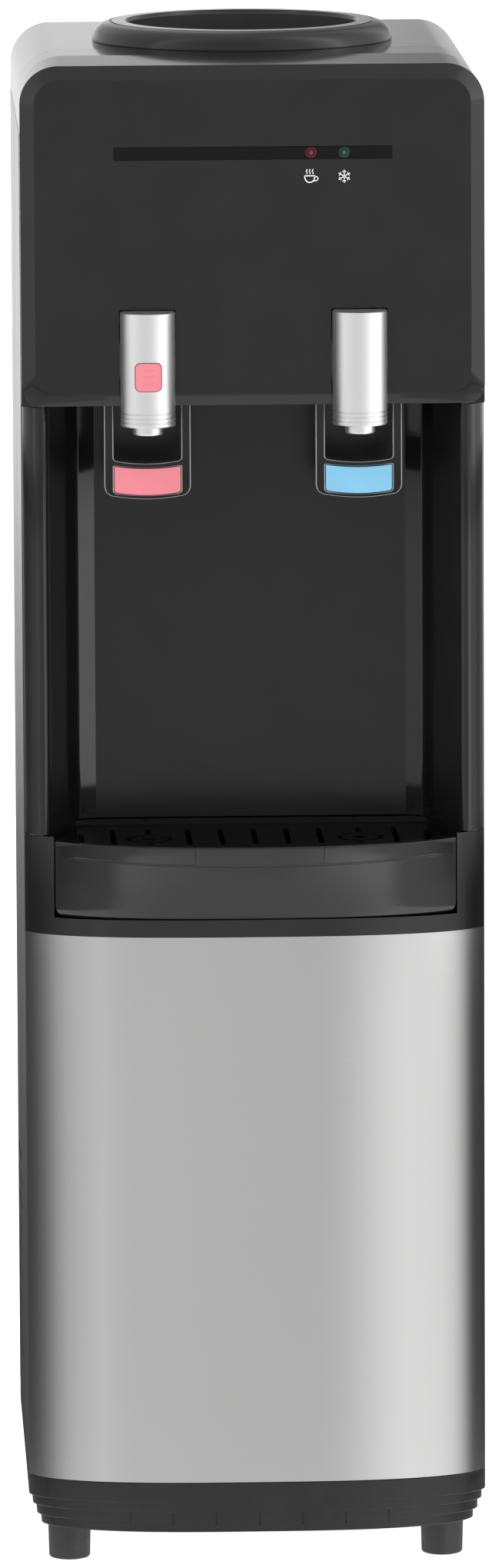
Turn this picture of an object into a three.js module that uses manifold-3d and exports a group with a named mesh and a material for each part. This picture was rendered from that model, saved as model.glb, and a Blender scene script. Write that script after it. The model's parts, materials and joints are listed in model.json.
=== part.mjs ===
// Floor-standing hot and cold water dispenser with a top-loading bottle seat.
// Millimetres, +Z up, front towards -Y. The origin is on the floor, under the middle of the
// object's bounding box.
import * as THREE from "three";
import { mergeVertices } from "three/addons/utils/BufferGeometryUtils.js";
import Module from "manifold-3d";

const wasm = await Module();
wasm.setup();

// ---------------------------------------------------------------- driving dimensions
const HOUSING_HALF = 140; // half width of the upper housing
const BODY_HALF = 140.2; // half width of the lower body
const CORNER_Y = -120; // front edge of the side panels
const REAR_Y = 172; // rear edge of the side panels
const GAP = 0.3; // clearance between neighbouring pieces

const FLOOR_Z = 27.9; // underside of the moulded base
const BASE_TOP_Z = 58.6;
const STEEL_TOP_Z = 396.4;
const SEAM_Z = 456.4; // seam between the drip housing and the alcove columns
const HOUSING_Z = 718.7; // underside of the upper housing
const SKIRT_Z = 883; // lower edge of the top cover's side skirt
const TOP_Z = 923;
const RIM_Z = 938; // top of the bottle collar

const FRONT_BOW = 36.5; // how far the lower front stands proud at its middle
const FRONT_START_Y = CORNER_Y + 2; // where the bowed front meets the side panels
const FACE_Y = CORNER_Y - 20; // flat face of the upper housing
const FACE_BEVEL = 8.5; // width of the band round the upper face
const FACE_BEVEL_DEPTH = 6.5;
const COVER_SPLIT_Y = CORNER_Y + 79; // joint between front cover and top cover
const ALCOVE_BACK_Y = CORNER_Y + 54;
const SHELL = 2.6; // wall of the plastic shells
const SHEET = 1.2; // wall of the sheet metal

const COLLAR_Y = (CORNER_Y + REAR_Y) / 2; // axis of the bottle seat and the tanks
const COLLAR_HOLE_R = 88.7;
const TAP_X = 64; // taps sit this far either side of the middle
const TAP_Y = FACE_Y - 3.6;
const CAP_R = 16.5;
const CAP_BOTTOM_Z = 708;
const CAP_TOP_Z = 777;
const PIVOT_Y = CORNER_Y + 2; // lever hinge axis
const PIVOT_Z = 752;
const VALVE_Z = 743.4; // where the hoses enter the tap bodies
const LEVER_HALF = 26.2;
const LEVER_BOTTOM_Z = 660.6;
const PADDLE_FRONT_Y = CORNER_Y - 7;
const PADDLE_BACK_Y = CORNER_Y + 5;

const TRAY_HALF = 121.7;
const TRAY_BOTTOM_Z = 407.3;
const TRAY_TOP_Z = 454;
const TRAY_LEAN = 17.5; // how far the tray's lip overhangs its foot at the middle
const GRILLE_TOP_Z = 452.5;
const GRILLE_THICK = 3.2;

const TANK_R = 68;
const TANK_BOTTOM_Z = 745;
const TANK_TOP_Z = 849;
const SPIGOT_Z = TANK_BOTTOM_Z + 7.5; // cold water outlet of the tank
const HOT_TANK = { x: 30, y: 30, r: 42, z0: 575, z1: 690 };
const SHELF_Z = 723.4; // shelf under the cold tank
const REAR_PANEL_Y = CORNER_Y + 268;

const FINE = 28; // sides of a large round
const COARSE = 14; // sides of a small round

// ---------------------------------------------------------------- materials
function finish(color, roughness, metalness) {
  return new THREE.MeshStandardMaterial({ color, roughness, metalness });
}
const GLOSS_BLACK = finish(0x1c1c1d, 0.16, 0);
const SATIN_BLACK = finish(0x232324, 0.42, 0);
const PAINTED_BLACK = finish(0x252526, 0.36, 0.1);
const DARK_INSERT = finish(0x0c0c0d, 0.3, 0);
const STEEL = finish(0xb4b4b2, 0.34, 1);
const SATIN_SILVER = finish(0xc9c9ca, 0.3, 0.9);
const RED_LENS = finish(0x7a0f22, 0.15, 0);
const GREEN_LENS = finish(0x1f5c3c, 0.15, 0);
const PINK = finish(0xfa8f9b, 0.4, 0);
const BLUE = finish(0x86cdf1, 0.4, 0);
const STAINLESS = finish(0xc4c6c8, 0.25, 1);
const COPPER = finish(0xb46a43, 0.35, 1);
const GALVANISED = finish(0x9a9d9f, 0.5, 0.8);
const FOAM = finish(0xeeeeea, 0.9, 0);
const SILICONE = finish(0xd8d8d2, 0.6, 0);
const WHITE_PLASTIC = finish(0xe6e6e2, 0.5, 0);
const RUBBER = finish(0x1a1a1a, 0.8, 0);
const SWITCH_RED = finish(0xb01820, 0.3, 0);
const SWITCH_GREEN = finish(0x1c8a45, 0.3, 0);
const MICA = finish(0xa9a08c, 0.6, 0.3);

// ---------------------------------------------------------------- solids and booleans
function toSolid(geometry) {
  const flat = geometry.index ? geometry.toNonIndexed() : geometry;
  const bare = new THREE.BufferGeometry();
  bare.setAttribute("position", flat.getAttribute("position"));
  const merged = mergeVertices(bare, 1e-4);
  const triangles = [];
  for (let i = 0; i < merged.index.count; i += 3) {
    const [a, b, c] = [0, 1, 2].map((k) => merged.index.getX(i + k));
    if (a !== b && b !== c && c !== a) triangles.push(a, b, c);
  }
  const mesh = new wasm.Mesh({
    numProp: 3,
    vertProperties: new Float32Array(merged.attributes.position.array),
    triVerts: new Uint32Array(triangles),
  });
  mesh.merge();
  return new wasm.Manifold(mesh);
}

function fromSolid(solid) {
  const mesh = solid.getMesh();
  const geometry = new THREE.BufferGeometry();
  geometry.setAttribute("position", new THREE.BufferAttribute(mesh.vertProperties, 3));
  geometry.setIndex(new THREE.BufferAttribute(mesh.triVerts, 1));
  geometry.computeVertexNormals();
  return geometry;
}

function join(first, ...others) {
  return others.reduce((sum, other) => sum.add(other), first);
}

function cut(first, ...others) {
  return others.reduce((rest, other) => rest.subtract(other), first);
}

function box(x, y, z) {
  const geometry = new THREE.BoxGeometry(x[1] - x[0], y[1] - y[0], z[1] - z[0]);
  geometry.translate((x[0] + x[1]) / 2, (y[0] + y[1]) / 2, (z[0] + z[1]) / 2);
  return toSolid(geometry);
}

// An outline in X and Y, extruded from z0 up to z1.
function riseZ(outline, z0, z1, steps = 1) {
  const shape = new THREE.Shape(outline);
  const geometry = new THREE.ExtrudeGeometry(shape, { depth: z1 - z0, bevelEnabled: false, steps });
  geometry.translate(0, 0, z0);
  return geometry;
}

// An outline in X and Z, extruded from y0 back to y1.
function runY(shape, y0, y1) {
  const options = { depth: y1 - y0, bevelEnabled: false, curveSegments: 5 };
  const geometry = new THREE.ExtrudeGeometry(shape, options);
  geometry.rotateX(Math.PI / 2);
  geometry.translate(0, y1, 0);
  return toSolid(geometry);
}

// A profile of [radius, z] pairs turned about a vertical axis.
function turn(profile, x, y, sides = FINE) {
  const points = profile.map(([r, z]) => new THREE.Vector2(r, z));
  const geometry = new THREE.LatheGeometry(points, sides);
  geometry.rotateX(Math.PI / 2);
  geometry.translate(x, y, 0);
  const solid = toSolid(geometry);
  return solid.volume() < 0 ? toSolid(flip(geometry)) : solid;
}

// The profile of a plain ring for turn().
function tube(inner, outer, z0, z1) {
  return [[inner, z0], [outer, z0], [outer, z1], [inner, z1], [inner, z0]];
}

function flip(geometry) {
  const turned = geometry.index ? geometry.toNonIndexed() : geometry.clone();
  const position = turned.getAttribute("position");
  for (let i = 0; i < position.count; i += 3) {
    const held = [position.getX(i), position.getY(i), position.getZ(i)];
    position.setXYZ(i, position.getX(i + 1), position.getY(i + 1), position.getZ(i + 1));
    position.setXYZ(i + 1, ...held);
  }
  return turned;
}

function post(radius, x, y, z0, z1, sides = COARSE) {
  return turn([[0, z0], [radius, z0], [radius, z1], [0, z1]], x, y, sides);
}

// A round bar along X or Y.
function bar(radius, from, to, sides = COARSE) {
  const start = new THREE.Vector3(...from);
  const end = new THREE.Vector3(...to);
  const geometry = new THREE.CylinderGeometry(radius, radius, start.distanceTo(end), sides);
  const aim = new THREE.Vector3().subVectors(end, start).normalize();
  geometry.applyQuaternion(new THREE.Quaternion().setFromUnitVectors(new THREE.Vector3(0, 1, 0), aim));
  geometry.translate(...start.add(end).multiplyScalar(0.5).toArray());
  return toSolid(geometry);
}

// A round tube or wire through a list of points.
function pipe(points, radius, steps, sides) {
  const path = new THREE.CatmullRomCurve3(points.map((p) => new THREE.Vector3(...p)), false, "centripetal");
  const section = new THREE.Shape();
  for (let i = 0; i < sides; i += 1) {
    const angle = (i / sides) * 2 * Math.PI;
    section[i ? "lineTo" : "moveTo"](radius * Math.cos(angle), radius * Math.sin(angle));
  }
  const geometry = new THREE.ExtrudeGeometry(section, { steps, extrudePath: path, bevelEnabled: false });
  const solid = toSolid(geometry);
  return solid.volume() < 0 ? toSolid(flip(geometry)) : solid;
}

function roundedRect(x0, x1, z0, z1, radii) {
  const [lowLeft, lowRight, topRight, topLeft] = Array.isArray(radii) ? radii : [radii, radii, radii, radii];
  const shape = new THREE.Shape();
  shape.moveTo(x0 + lowLeft, z0);
  shape.lineTo(x1 - lowRight, z0);
  if (lowRight) shape.absarc(x1 - lowRight, z0 + lowRight, lowRight, -Math.PI / 2, 0, false);
  shape.lineTo(x1, z1 - topRight);
  if (topRight) shape.absarc(x1 - topRight, z1 - topRight, topRight, 0, Math.PI / 2, false);
  shape.lineTo(x0 + topLeft, z1);
  if (topLeft) shape.absarc(x0 + topLeft, z1 - topLeft, topLeft, Math.PI / 2, Math.PI, false);
  shape.lineTo(x0, z0 + lowLeft);
  if (lowLeft) shape.absarc(x0 + lowLeft, z0 + lowLeft, lowLeft, Math.PI, 1.5 * Math.PI, false);
  return shape;
}

// The same list of [x, y] points with its mirror image about X = 0 put in front of it.
function mirrored(half) {
  const left = half.map(([x, y]) => [-x, y]).reverse();
  return [...left, ...half];
}

function asPoints(list) {
  return list.map(([x, y]) => new THREE.Vector2(x, y));
}

// The lower front's plan: a flat superellipse from one side panel to the other, left to right.
// bow is its depth, and lean adds an overhang that fades out at the ends of the tray.
function frontCurve(inset, reach = BODY_HALF, lean = 0, count = 18) {
  const half = BODY_HALF - inset;
  const depth = FRONT_BOW - inset;
  const points = [];
  for (let i = 0; i <= count; i += 1) {
    const angle = Math.PI * (1 - i / count);
    const c = Math.cos(angle);
    const x = THREE.MathUtils.clamp(half * Math.sign(c) * Math.abs(c) ** (2 / 3), -reach, reach);
    const rise = (1 - Math.min(1, Math.abs(x) / half) ** 3) ** (1 / 1.8);
    points.push([x, FRONT_START_Y - depth * rise - lean * Math.max(0, 1 - (x / TRAY_HALF) ** 2)]);
  }
  return points.filter(([x], i) => i === 0 || Math.abs(x - points[i - 1][0]) > 1e-6);
}

// A closed strip of even thickness behind an open line of points.
function ribbon(line, thickness) {
  const back = line.map(([x, y], i) => {
    const [px, py] = line[Math.max(0, i - 1)];
    const [nx, ny] = line[Math.min(line.length - 1, i + 1)];
    const before = new THREE.Vector2(x - px, y - py).normalize();
    const after = new THREE.Vector2(nx - x, ny - y).normalize();
    const along = before.clone().add(after).normalize();
    const reference = before.lengthSq() > 0.5 ? before : after;
    const stretch = thickness / Math.max(0.5, along.dot(reference));
    return [x - along.y * stretch, y + along.x * stretch];
  });
  return asPoints([...line, ...back.reverse()]);
}

// ---------------------------------------------------------------- assembly
const dispenser = new THREE.Group();

function place(name, solid, material) {
  const piece = new THREE.Mesh(fromSolid(solid), material);
  piece.name = name;
  dispenser.add(piece);
}

// ---------------------------------------------------------------- base and feet
const FOOT_X = 115;
const FOOT_YS = [CORNER_Y + 30, CORNER_Y + 262];

function baseOutline(half) {
  const ratio = half / BODY_HALF;
  const front = frontCurve(0).map(([x, y]) => [x * ratio, y]);
  return asPoints([...front, [half, REAR_Y - 6], [half - 6, REAR_Y], [6 - half, REAR_Y], [-half, REAR_Y - 6]]);
}

const COMPRESSOR = { x: -30, y: 40, z: 41 };

function compressorFeet() {
  return [-1, 1].flatMap((i) => [-1, 1].map((j) => [COMPRESSOR.x + i * 72, COMPRESSOR.y + j * 42]));
}

function buildBase() {
  const steps = [[BODY_HALF, 45.9, BASE_TOP_Z], [136.8, 36.5, 48], [133.2, FLOOR_Z, 38]];
  const slabs = steps.map(([half, z0, z1]) => toSolid(riseZ(baseOutline(half), z0, z1)));
  const back = [[135, REAR_Y - 9], [132, REAR_Y - 4], [-132, REAR_Y - 4], [-135, REAR_Y - 9]];
  const well = asPoints([...frontCurve(4), ...back].map(([x, y]) => [x * 0.935, y]));
  let base = cut(join(...slabs), toSolid(riseZ(well, FLOOR_Z + 4, 70)));
  for (const x of [-FOOT_X, FOOT_X]) {
    for (const y of FOOT_YS) base = cut(base, post(4.3, x, y, 20, 60));
  }
  for (let i = -2; i <= 2; i += 1) {
    base = cut(base, box([i * 30 - 3, i * 30 + 3], [12, 68], [20, 40]));
  }
  for (const [x, y] of compressorFeet()) base = base.add(post(9, x, y, FLOOR_Z + 2, COMPRESSOR.z - GAP, 12));
  place("base", base, SATIN_BLACK);
}

function buildFeet() {
  const names = { [-FOOT_X]: "left", [FOOT_X]: "right" };
  for (const [x, side] of Object.entries(names)) {
    FOOT_YS.forEach((y, row) => {
      const foot = turn(
        [[0, 0], [11.6, 0], [12.9, 1.2], [13.8, FLOOR_Z - GAP], [4, FLOOR_Z - GAP], [4, 37], [0, 37]],
        Number(x), y, 16,
      );
      place(`foot_${row ? "rear" : "front"}_${side}`, foot, RUBBER);
    });
  }
}

// ---------------------------------------------------------------- cabinet panels
const LOUVRES = 9;

function buildSidePanel(side) {
  const z = [BASE_TOP_Z + GAP, SKIRT_Z - GAP];
  const skinX = [side * BODY_HALF, side * (BODY_HALF - SHEET)].sort((a, b) => a - b);
  const flangeX = [side * BODY_HALF, side * (BODY_HALF - 12)].sort((a, b) => a - b);
  let panel = join(
    box(skinX, [FRONT_START_Y + 0.6, REAR_Y], z),
    box(flangeX, [REAR_Y - SHEET, REAR_Y], z),
  );
  const bead = [side * (BODY_HALF - 0.6), side * (BODY_HALF + 1)].sort((a, b) => a - b);
  panel = cut(panel, box(bead, [CORNER_Y + 164, CORNER_Y + 166.4], [z[0] - 1, z[1] + 1]));
  const throughX = [side * 135, side * 142].sort((a, b) => a - b);
  for (let i = 0; i < LOUVRES; i += 1) {
    const low = 92 + i * 15.5;
    panel = cut(panel, box(throughX, [CORNER_Y + 190, CORNER_Y + 262], [low, low + 4]));
  }
  place(side < 0 ? "side_panel_left" : "side_panel_right", panel, PAINTED_BLACK);
}

function buildLowerFront() {
  const skin = toSolid(riseZ(ribbon(frontCurve(0), SHEET), BASE_TOP_Z + GAP, STEEL_TOP_Z));
  place("lower_front_panel", skin, STEEL);
}

const SWITCH_Z = 640;
const INLET = { x: 70, z: 130 };
const DRAIN = { x: -70, z: 546 };

function buildRearPanel() {
  let panel = box([-137, 137], [REAR_PANEL_Y, REAR_PANEL_Y + SHEET], [BASE_TOP_Z + 1, 915]);
  panel = cut(panel, box([-138, 138], [140, 160], [SKIRT_Z + 20, 920]));
  for (let row = 0; row < 6; row += 1) {
    const low = 90 + row * 22;
    panel = cut(panel, box([-100, -20], [140, 160], [low, low + 9]));
  }
  panel = cut(
    panel,
    bar(11.3, [INLET.x, 140, INLET.z], [INLET.x, 160, INLET.z]),
    bar(12.3, [DRAIN.x, 140, DRAIN.z], [DRAIN.x, 160, DRAIN.z]),
    ...[COIL.low + 4, coilTop()].map((z) => bar(5, [112, 140, z], [112, 160, z], 16)),
    box([48, 92], [140, 160], [SWITCH_Z - 19, SWITCH_Z + 19]),
  );
  place("rear_panel", panel, PAINTED_BLACK);
}

// ---------------------------------------------------------------- upper housing
function faceOutline(inset, top, topRadius, lowRadius) {
  return roundedRect(
    inset - HOUSING_HALF, HOUSING_HALF - inset, HOUSING_Z + inset, top - inset,
    [lowRadius, lowRadius, topRadius, topRadius],
  );
}

const SLOT = { x0: -84, x1: 84.2, z0: 867.8, z1: 875.9 };
const LED_XS = { led_hot: 35.1, led_cold: 55.1 };
const LED_Z = 871.9;

function buildFrontCover() {
  const plate = new THREE.ExtrudeGeometry(faceOutline(0, TOP_Z + 1.6, 23, 12), {
    depth: 1, bevelThickness: FACE_BEVEL_DEPTH, bevelSize: FACE_BEVEL, bevelOffset: -FACE_BEVEL,
    bevelSegments: 1, curveSegments: 5,
  });
  plate.rotateX(Math.PI / 2);
  plate.translate(0, FACE_Y + FACE_BEVEL_DEPTH + 1, 0);
  const bevelEdge = FACE_Y + FACE_BEVEL_DEPTH;
  const skirt = runY(faceOutline(0, TOP_Z, 23, 2), bevelEdge, COVER_SPLIT_Y);
  let cover = join(toSolid(plate).subtract(box([-150, 150], [bevelEdge + 0.6, -100], [700, 940])), skirt);
  cover = cut(
    cover,
    runY(faceOutline(FACE_BEVEL + SHELL, TOP_Z + 1.6, 13, 6), FACE_Y + 3, bevelEdge + 1),
    runY(faceOutline(SHELL, TOP_Z, 20.4, 1), bevelEdge, COVER_SPLIT_Y + 1),
    box([-150, 150], [CORNER_Y + 2, COVER_SPLIT_Y + 1], [700, SKIRT_Z]),
    box([-125.9, 125.9], [FACE_Y + 3, CORNER_Y + 3], [700, HOUSING_Z + 6]),
    post(COLLAR_HOLE_R, 0, COLLAR_Y, 900, 930, FINE),
    box([SLOT.x0, SLOT.x1], [FACE_Y - 1, FACE_Y + 1.8], [SLOT.z0, SLOT.z1]),
  );
  for (const side of [-1, 1]) {
    cover = cut(cover, post(CAP_R + 0.9, side * TAP_X, TAP_Y, 700, CAP_TOP_Z + 0.8, 26));
  }
  for (const x of Object.values(LED_XS)) {
    cover = cut(cover, bar(2.8, [x, FACE_Y - 1, LED_Z], [x, FACE_Y + 6, LED_Z], 16));
  }
  place("front_cover", cover, GLOSS_BLACK);
}

function buildIndicator() {
  const [x0, x1, z0, z1] = [SLOT.x0 + GAP, SLOT.x1 - GAP, SLOT.z0 + GAP, SLOT.z1 - GAP];
  let strip = box([x0, x1], [FACE_Y + 0.5, FACE_Y + 1.5], [z0, z1]);
  for (const [name, x] of Object.entries(LED_XS)) {
    strip = cut(strip, bar(3.7, [x, FACE_Y - 1, LED_Z], [x, FACE_Y + 3, LED_Z], 20));
    const lens = join(
      bar(3.3, [x, FACE_Y - 0.4, LED_Z], [x, FACE_Y + 1.5, LED_Z], 20),
      bar(2.4, [x, FACE_Y + 1, LED_Z], [x, FACE_Y + 7, LED_Z], 12),
    );
    place(name, lens, name === "led_hot" ? RED_LENS : GREEN_LENS);
  }
  place("indicator_strip", strip, DARK_INSERT);
}

function buildTopCover() {
  const outline = roundedRect(-HOUSING_HALF, HOUSING_HALF, SKIRT_Z, TOP_Z, [0, 0, 23, 23]);
  const inside = HOUSING_HALF - SHELL;
  const hollow = roundedRect(-inside, inside, SKIRT_Z - 1, TOP_Z - SHELL, [0, 0, 20.4, 20.4]);
  const cover = cut(
    runY(outline, COVER_SPLIT_Y + GAP, REAR_Y),
    runY(hollow, COVER_SPLIT_Y - 1, REAR_Y - SHELL),
    post(COLLAR_HOLE_R, 0, COLLAR_Y, 900, 930, FINE),
  );
  place("top_cover", cover, GLOSS_BLACK);
}

// ---------------------------------------------------------------- alcove
// Half of the alcove's plan from the middle of its back to the side panel, as offsets from CORNER_Y.
const ALCOVE_WALL = [[95, 54], [106, 49.5], [123.4, -6]];
const COLUMN = [[124.6, -10.6], [127.6, -13.2], [131.4, -12.5], [135.6, -8.8], [138.5, -3.8], [139.8, 1.6]];

function fromCorner(half) {
  return mirrored(half.map(([x, y]) => [x, CORNER_Y + y]));
}

function buildAlcove() {
  const wall = 2.2;
  const lower = ribbon(fromCorner([...ALCOVE_WALL, ...COLUMN]), wall);
  const upper = ribbon(fromCorner(ALCOVE_WALL), wall);
  const ceiling = fromCorner([[95, 55], [107, 50.3], [122.2, -2], [122.2, -13.2]]);
  let liner = join(
    toSolid(riseZ(lower, SEAM_Z + GAP, HOUSING_Z - GAP)),
    toSolid(riseZ(upper, HOUSING_Z - 10, HOUSING_Z + 3)),
    toSolid(riseZ(asPoints(ceiling), HOUSING_Z + 0.5, HOUSING_Z + 3)),
  );
  for (const side of [-1, 1]) {
    const x = [side * TAP_X - LEVER_HALF - 1, side * TAP_X + LEVER_HALF + 1];
    liner = cut(liner, box(x, [CORNER_Y - 20, CORNER_Y + 14], [HOUSING_Z - 1, HOUSING_Z + 5]));
  }
  place("alcove_liner", liner, GLOSS_BLACK);
}

// ---------------------------------------------------------------- drip housing, tray and grille
const BAY = [[99, 50], [107.5, 45.5], [122.5, -4], [122.5, -60]];

function buildDripHousing() {
  const rear = [[140, CORNER_Y + 2], [125.4, CORNER_Y + 5], [110.3, CORNER_Y + 47.6], [101, CORNER_Y + 52.9]];
  const outline = [...frontCurve(0), ...rear, ...rear.map(([x, y]) => [-x, y]).reverse()];
  const back = [[123, CORNER_Y], [100, CORNER_Y + 48], [-100, CORNER_Y + 48], [-123, CORNER_Y]];
  const belly = [...frontCurve(SHELL, 132), ...back];
  const housing = cut(
    toSolid(riseZ(asPoints(outline), STEEL_TOP_Z + GAP, SEAM_Z)),
    toSolid(riseZ(asPoints(fromCorner(BAY)), TRAY_BOTTOM_Z - GAP, SEAM_Z + 5)),
    toSolid(riseZ(asPoints(belly), STEEL_TOP_Z - 1, TRAY_BOTTOM_Z - GAP - 2.4)),
  );
  place("drip_housing", housing, GLOSS_BLACK);
}

// Bends a solid's front outwards with height, to give the tray its overhanging lip.
function leanForward(geometry) {
  const position = geometry.getAttribute("position");
  for (let i = 0; i < position.count; i += 1) {
    const [x, y, z] = [position.getX(i), position.getY(i), position.getZ(i)];
    const height = THREE.MathUtils.clamp((z - TRAY_BOTTOM_Z) / (TRAY_TOP_Z - TRAY_BOTTOM_Z), 0, 1);
    const spread = Math.max(0, 1 - (x / TRAY_HALF) ** 2);
    if (y < CORNER_Y - 13) position.setY(i, y - TRAY_LEAN * height * spread);
  }
  return toSolid(geometry);
}

function trayOutline(inset, reach) {
  const front = frontCurve(inset, reach).filter(([x]) => Math.abs(x) <= reach);
  const back = [
    [reach, CORNER_Y - 5],
    [106 - inset, CORNER_Y + 38.6 - inset],
    [97 - inset, CORNER_Y + 48.5 - inset],
  ];
  return asPoints([...front, ...back, ...back.map(([x, y]) => [-x, y]).reverse()]);
}

function buildTray() {
  const wall = 2.4;
  const rim = GRILLE_TOP_Z - GRILLE_THICK - GAP;
  const body = leanForward(riseZ(trayOutline(0, TRAY_HALF), TRAY_BOTTOM_Z, TRAY_TOP_Z, 4));
  const inside = trayOutline(wall, TRAY_HALF - wall);
  const hollow = leanForward(riseZ(inside, TRAY_BOTTOM_Z + 2.6, TRAY_TOP_Z + 0.01, 4));
  const tray = cut(
    body, hollow,
    box([-130, 130], [CORNER_Y - 15, CORNER_Y + 60], [rim, 470]),
    box([-130, 130], [CORNER_Y - 10, CORNER_Y + 60], [400, TRAY_BOTTOM_Z + 1]),
  );
  place("drip_tray", tray, GLOSS_BLACK);
}

const SLOT_XS = [0, 20, -20, 40, -40, 86, -86, 105.4, -105.4];
const RING_Y = CORNER_Y - 4;

function buildGrille() {
  const height = (GRILLE_TOP_Z - TRAY_BOTTOM_Z) / (TRAY_TOP_Z - TRAY_BOTTOM_Z);
  const reach = TRAY_HALF - 1.1;
  const front = frontCurve(5.5, reach, TRAY_LEAN * height * 0.97);
  const back = [[reach, CORNER_Y - 5.4], [105.4, CORNER_Y + 38], [96.4, CORNER_Y + 47.6]];
  const outline = asPoints([...front, ...back, ...back.map(([x, y]) => [-x, y]).reverse()]);
  const bottom = GRILLE_TOP_Z - GRILLE_THICK;
  let grille = toSolid(riseZ(outline, bottom, GRILLE_TOP_Z));
  const slot = (x, y) => box([x - 1.6, x + 1.6], y, [bottom - 1, GRILLE_TOP_Z + 1]);
  for (const x of SLOT_XS) {
    const isShort = Math.abs(x) > 100;
    grille = cut(grille, slot(x, isShort ? [CORNER_Y - 15, CORNER_Y + 14] : [CORNER_Y - 26, CORNER_Y + 32]));
  }
  for (const x of [-TAP_X, TAP_X]) {
    grille = cut(
      grille,
      turn(tube(11.6, 14.2, GRILLE_TOP_Z - 1.1, GRILLE_TOP_Z + 8), x, RING_Y, 20),
      slot(x, [RING_Y + 17, CORNER_Y + 32]),
      slot(x, [CORNER_Y - 28, RING_Y - 17]),
      post(5, x, RING_Y, bottom - 1, GRILLE_TOP_Z + 1, 10),
    );
  }
  place("drip_grille", grille, GLOSS_BLACK);
}

// ---------------------------------------------------------------- bottle seat
function buildBottleSeat() {
  const collar = turn([
    [70.4, 936], [71.4, RIM_Z], [81.9, RIM_Z - 0.4], [86.5, 936.3], [90, 933.2], [91.8, 929.6], [92.3, 926.8],
    [91.2, TOP_Z + GAP],
    [86, TOP_Z + GAP], [86, 906], [79.6, 906], [79.6, 908.5], [83.4, 908.5], [83.4, 921.5], [70.4, 936],
  ], 0, COLLAR_Y, 36);
  const funnel = turn([
    [82.8, 908.8], [82.8, 911.8], [76, 911.8], [33, 885], [33, 852], [35.4, 852], [35.4, 884],
    [77, 908.8], [82.8, 908.8],
  ], 0, COLLAR_Y, 28);
  const spike = [[0, 853], [32.6, 853], [32.6, 856], [9, 858], [8.6, 884], [5, 901], [0, 903]];
  const ports = [0, 1, 2, 3].map((i) => {
    const angle = (i + 0.5) * (Math.PI / 2);
    return post(7, 20.5 * Math.cos(angle), COLLAR_Y + 20.5 * Math.sin(angle), 845, 870, 10);
  });
  place("bottle_collar", collar, GLOSS_BLACK);
  place("bottle_funnel", funnel, SATIN_BLACK);
  place("bottle_probe", cut(turn(spike, 0, COLLAR_Y, 20), ...ports), WHITE_PLASTIC);
}

// ---------------------------------------------------------------- taps and levers
function buildTap(side, name, padMaterial) {
  const x = side * TAP_X;
  const cavity = [[0, 702], [CAP_R - 1.8, 702], [CAP_R - 1.8, CAP_TOP_Z - 1.8], [0, CAP_TOP_Z - 1.8]];
  const profile = [[0, CAP_BOTTOM_Z], [CAP_R - 0.6, CAP_BOTTOM_Z]];
  profile.push([CAP_R, 709.4], [CAP_R, 711.6], [CAP_R - 0.6, 712.4], [CAP_R, 713.2]);
  profile.push([CAP_R, CAP_TOP_Z - 0.6], [CAP_R - 0.6, CAP_TOP_Z], [0, CAP_TOP_Z]);
  let cap = cut(
    turn(profile, x, TAP_Y, 24),
    turn(cavity, x, TAP_Y, 24),
    box([x - 20, x + 20], [FACE_Y + 2.8, FACE_Y + 20], [733, CAP_TOP_Z - 3]),
  );
  if (side < 0) cap = cut(cap, box([x - 8.2, x + 8.2], [TAP_Y - 25, TAP_Y], [729.4, 748.2]));
  place(`${name}_tap_cap`, cap, SATIN_SILVER);

  const nozzle = turn([
    [6.8, 702.5], [8.4, 702.5], [9, 703.2], [9, 705.4], [13.4, 705.8], [13.4, 711.5], [6.8, 711.5], [6.8, 702.5],
  ], x, TAP_Y, 18);
  place(`${name}_tap_nozzle`, nozzle, SATIN_SILVER);

  const body = cut(
    join(
      post(11, x, TAP_Y, 711.8, 754, 18),
      box([x - 24, x + 24], [FACE_Y + 3.4, FACE_Y + 5.9], [736, 756]),
      box([x - 8, x + 8], [TAP_Y + 8, CORNER_Y + 20], [737, 756]),
    ),
    post(7.3, x, TAP_Y, 711, 716),
    post(4.5, x, TAP_Y, 715, 721),
    post(7.6, x, TAP_Y, 720, 750),
    post(2.3, x, TAP_Y, 749, 755, 16),
    bar(4.6, [x, TAP_Y, VALVE_Z], [x, CORNER_Y + 21, VALVE_Z]),
    bar(2.7, [x - 9, PIVOT_Y, PIVOT_Z], [x + 9, PIVOT_Y, PIVOT_Z], 20),
    box([x - 9, x + 9], [PIVOT_Y - 2.2, PIVOT_Y + 2.2], [PIVOT_Z, 757]),
  );
  place(`${name}_tap_body`, body, WHITE_PLASTIC);

  const stem = turn([
    [0, 712.2], [6.2, 712.2], [6.2, 715.7], [1.8, 715.7], [1.8, 738], [6.8, 738], [6.8, 740], [1.8, 740],
    [1.8, 759.2], [4, 759.2], [4, 762], [1.4, 763.6], [0, 763.6],
  ], x, TAP_Y, 12);
  place(`${name}_valve_stem`, stem, SILICONE);

  const turns = 4;
  const coil = [];
  for (let i = 0; i <= turns * 10; i += 1) {
    const angle = (i / 10) * 2 * Math.PI;
    coil.push([x + 6.3 * Math.cos(angle), TAP_Y + 6.3 * Math.sin(angle), 721.1 + (15.8 * i) / (turns * 10)]);
  }
  place(`${name}_valve_spring`, pipe(coil, 0.5, turns * 10, 4), STAINLESS);

  buildLever(x, name, padMaterial);
}

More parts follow.
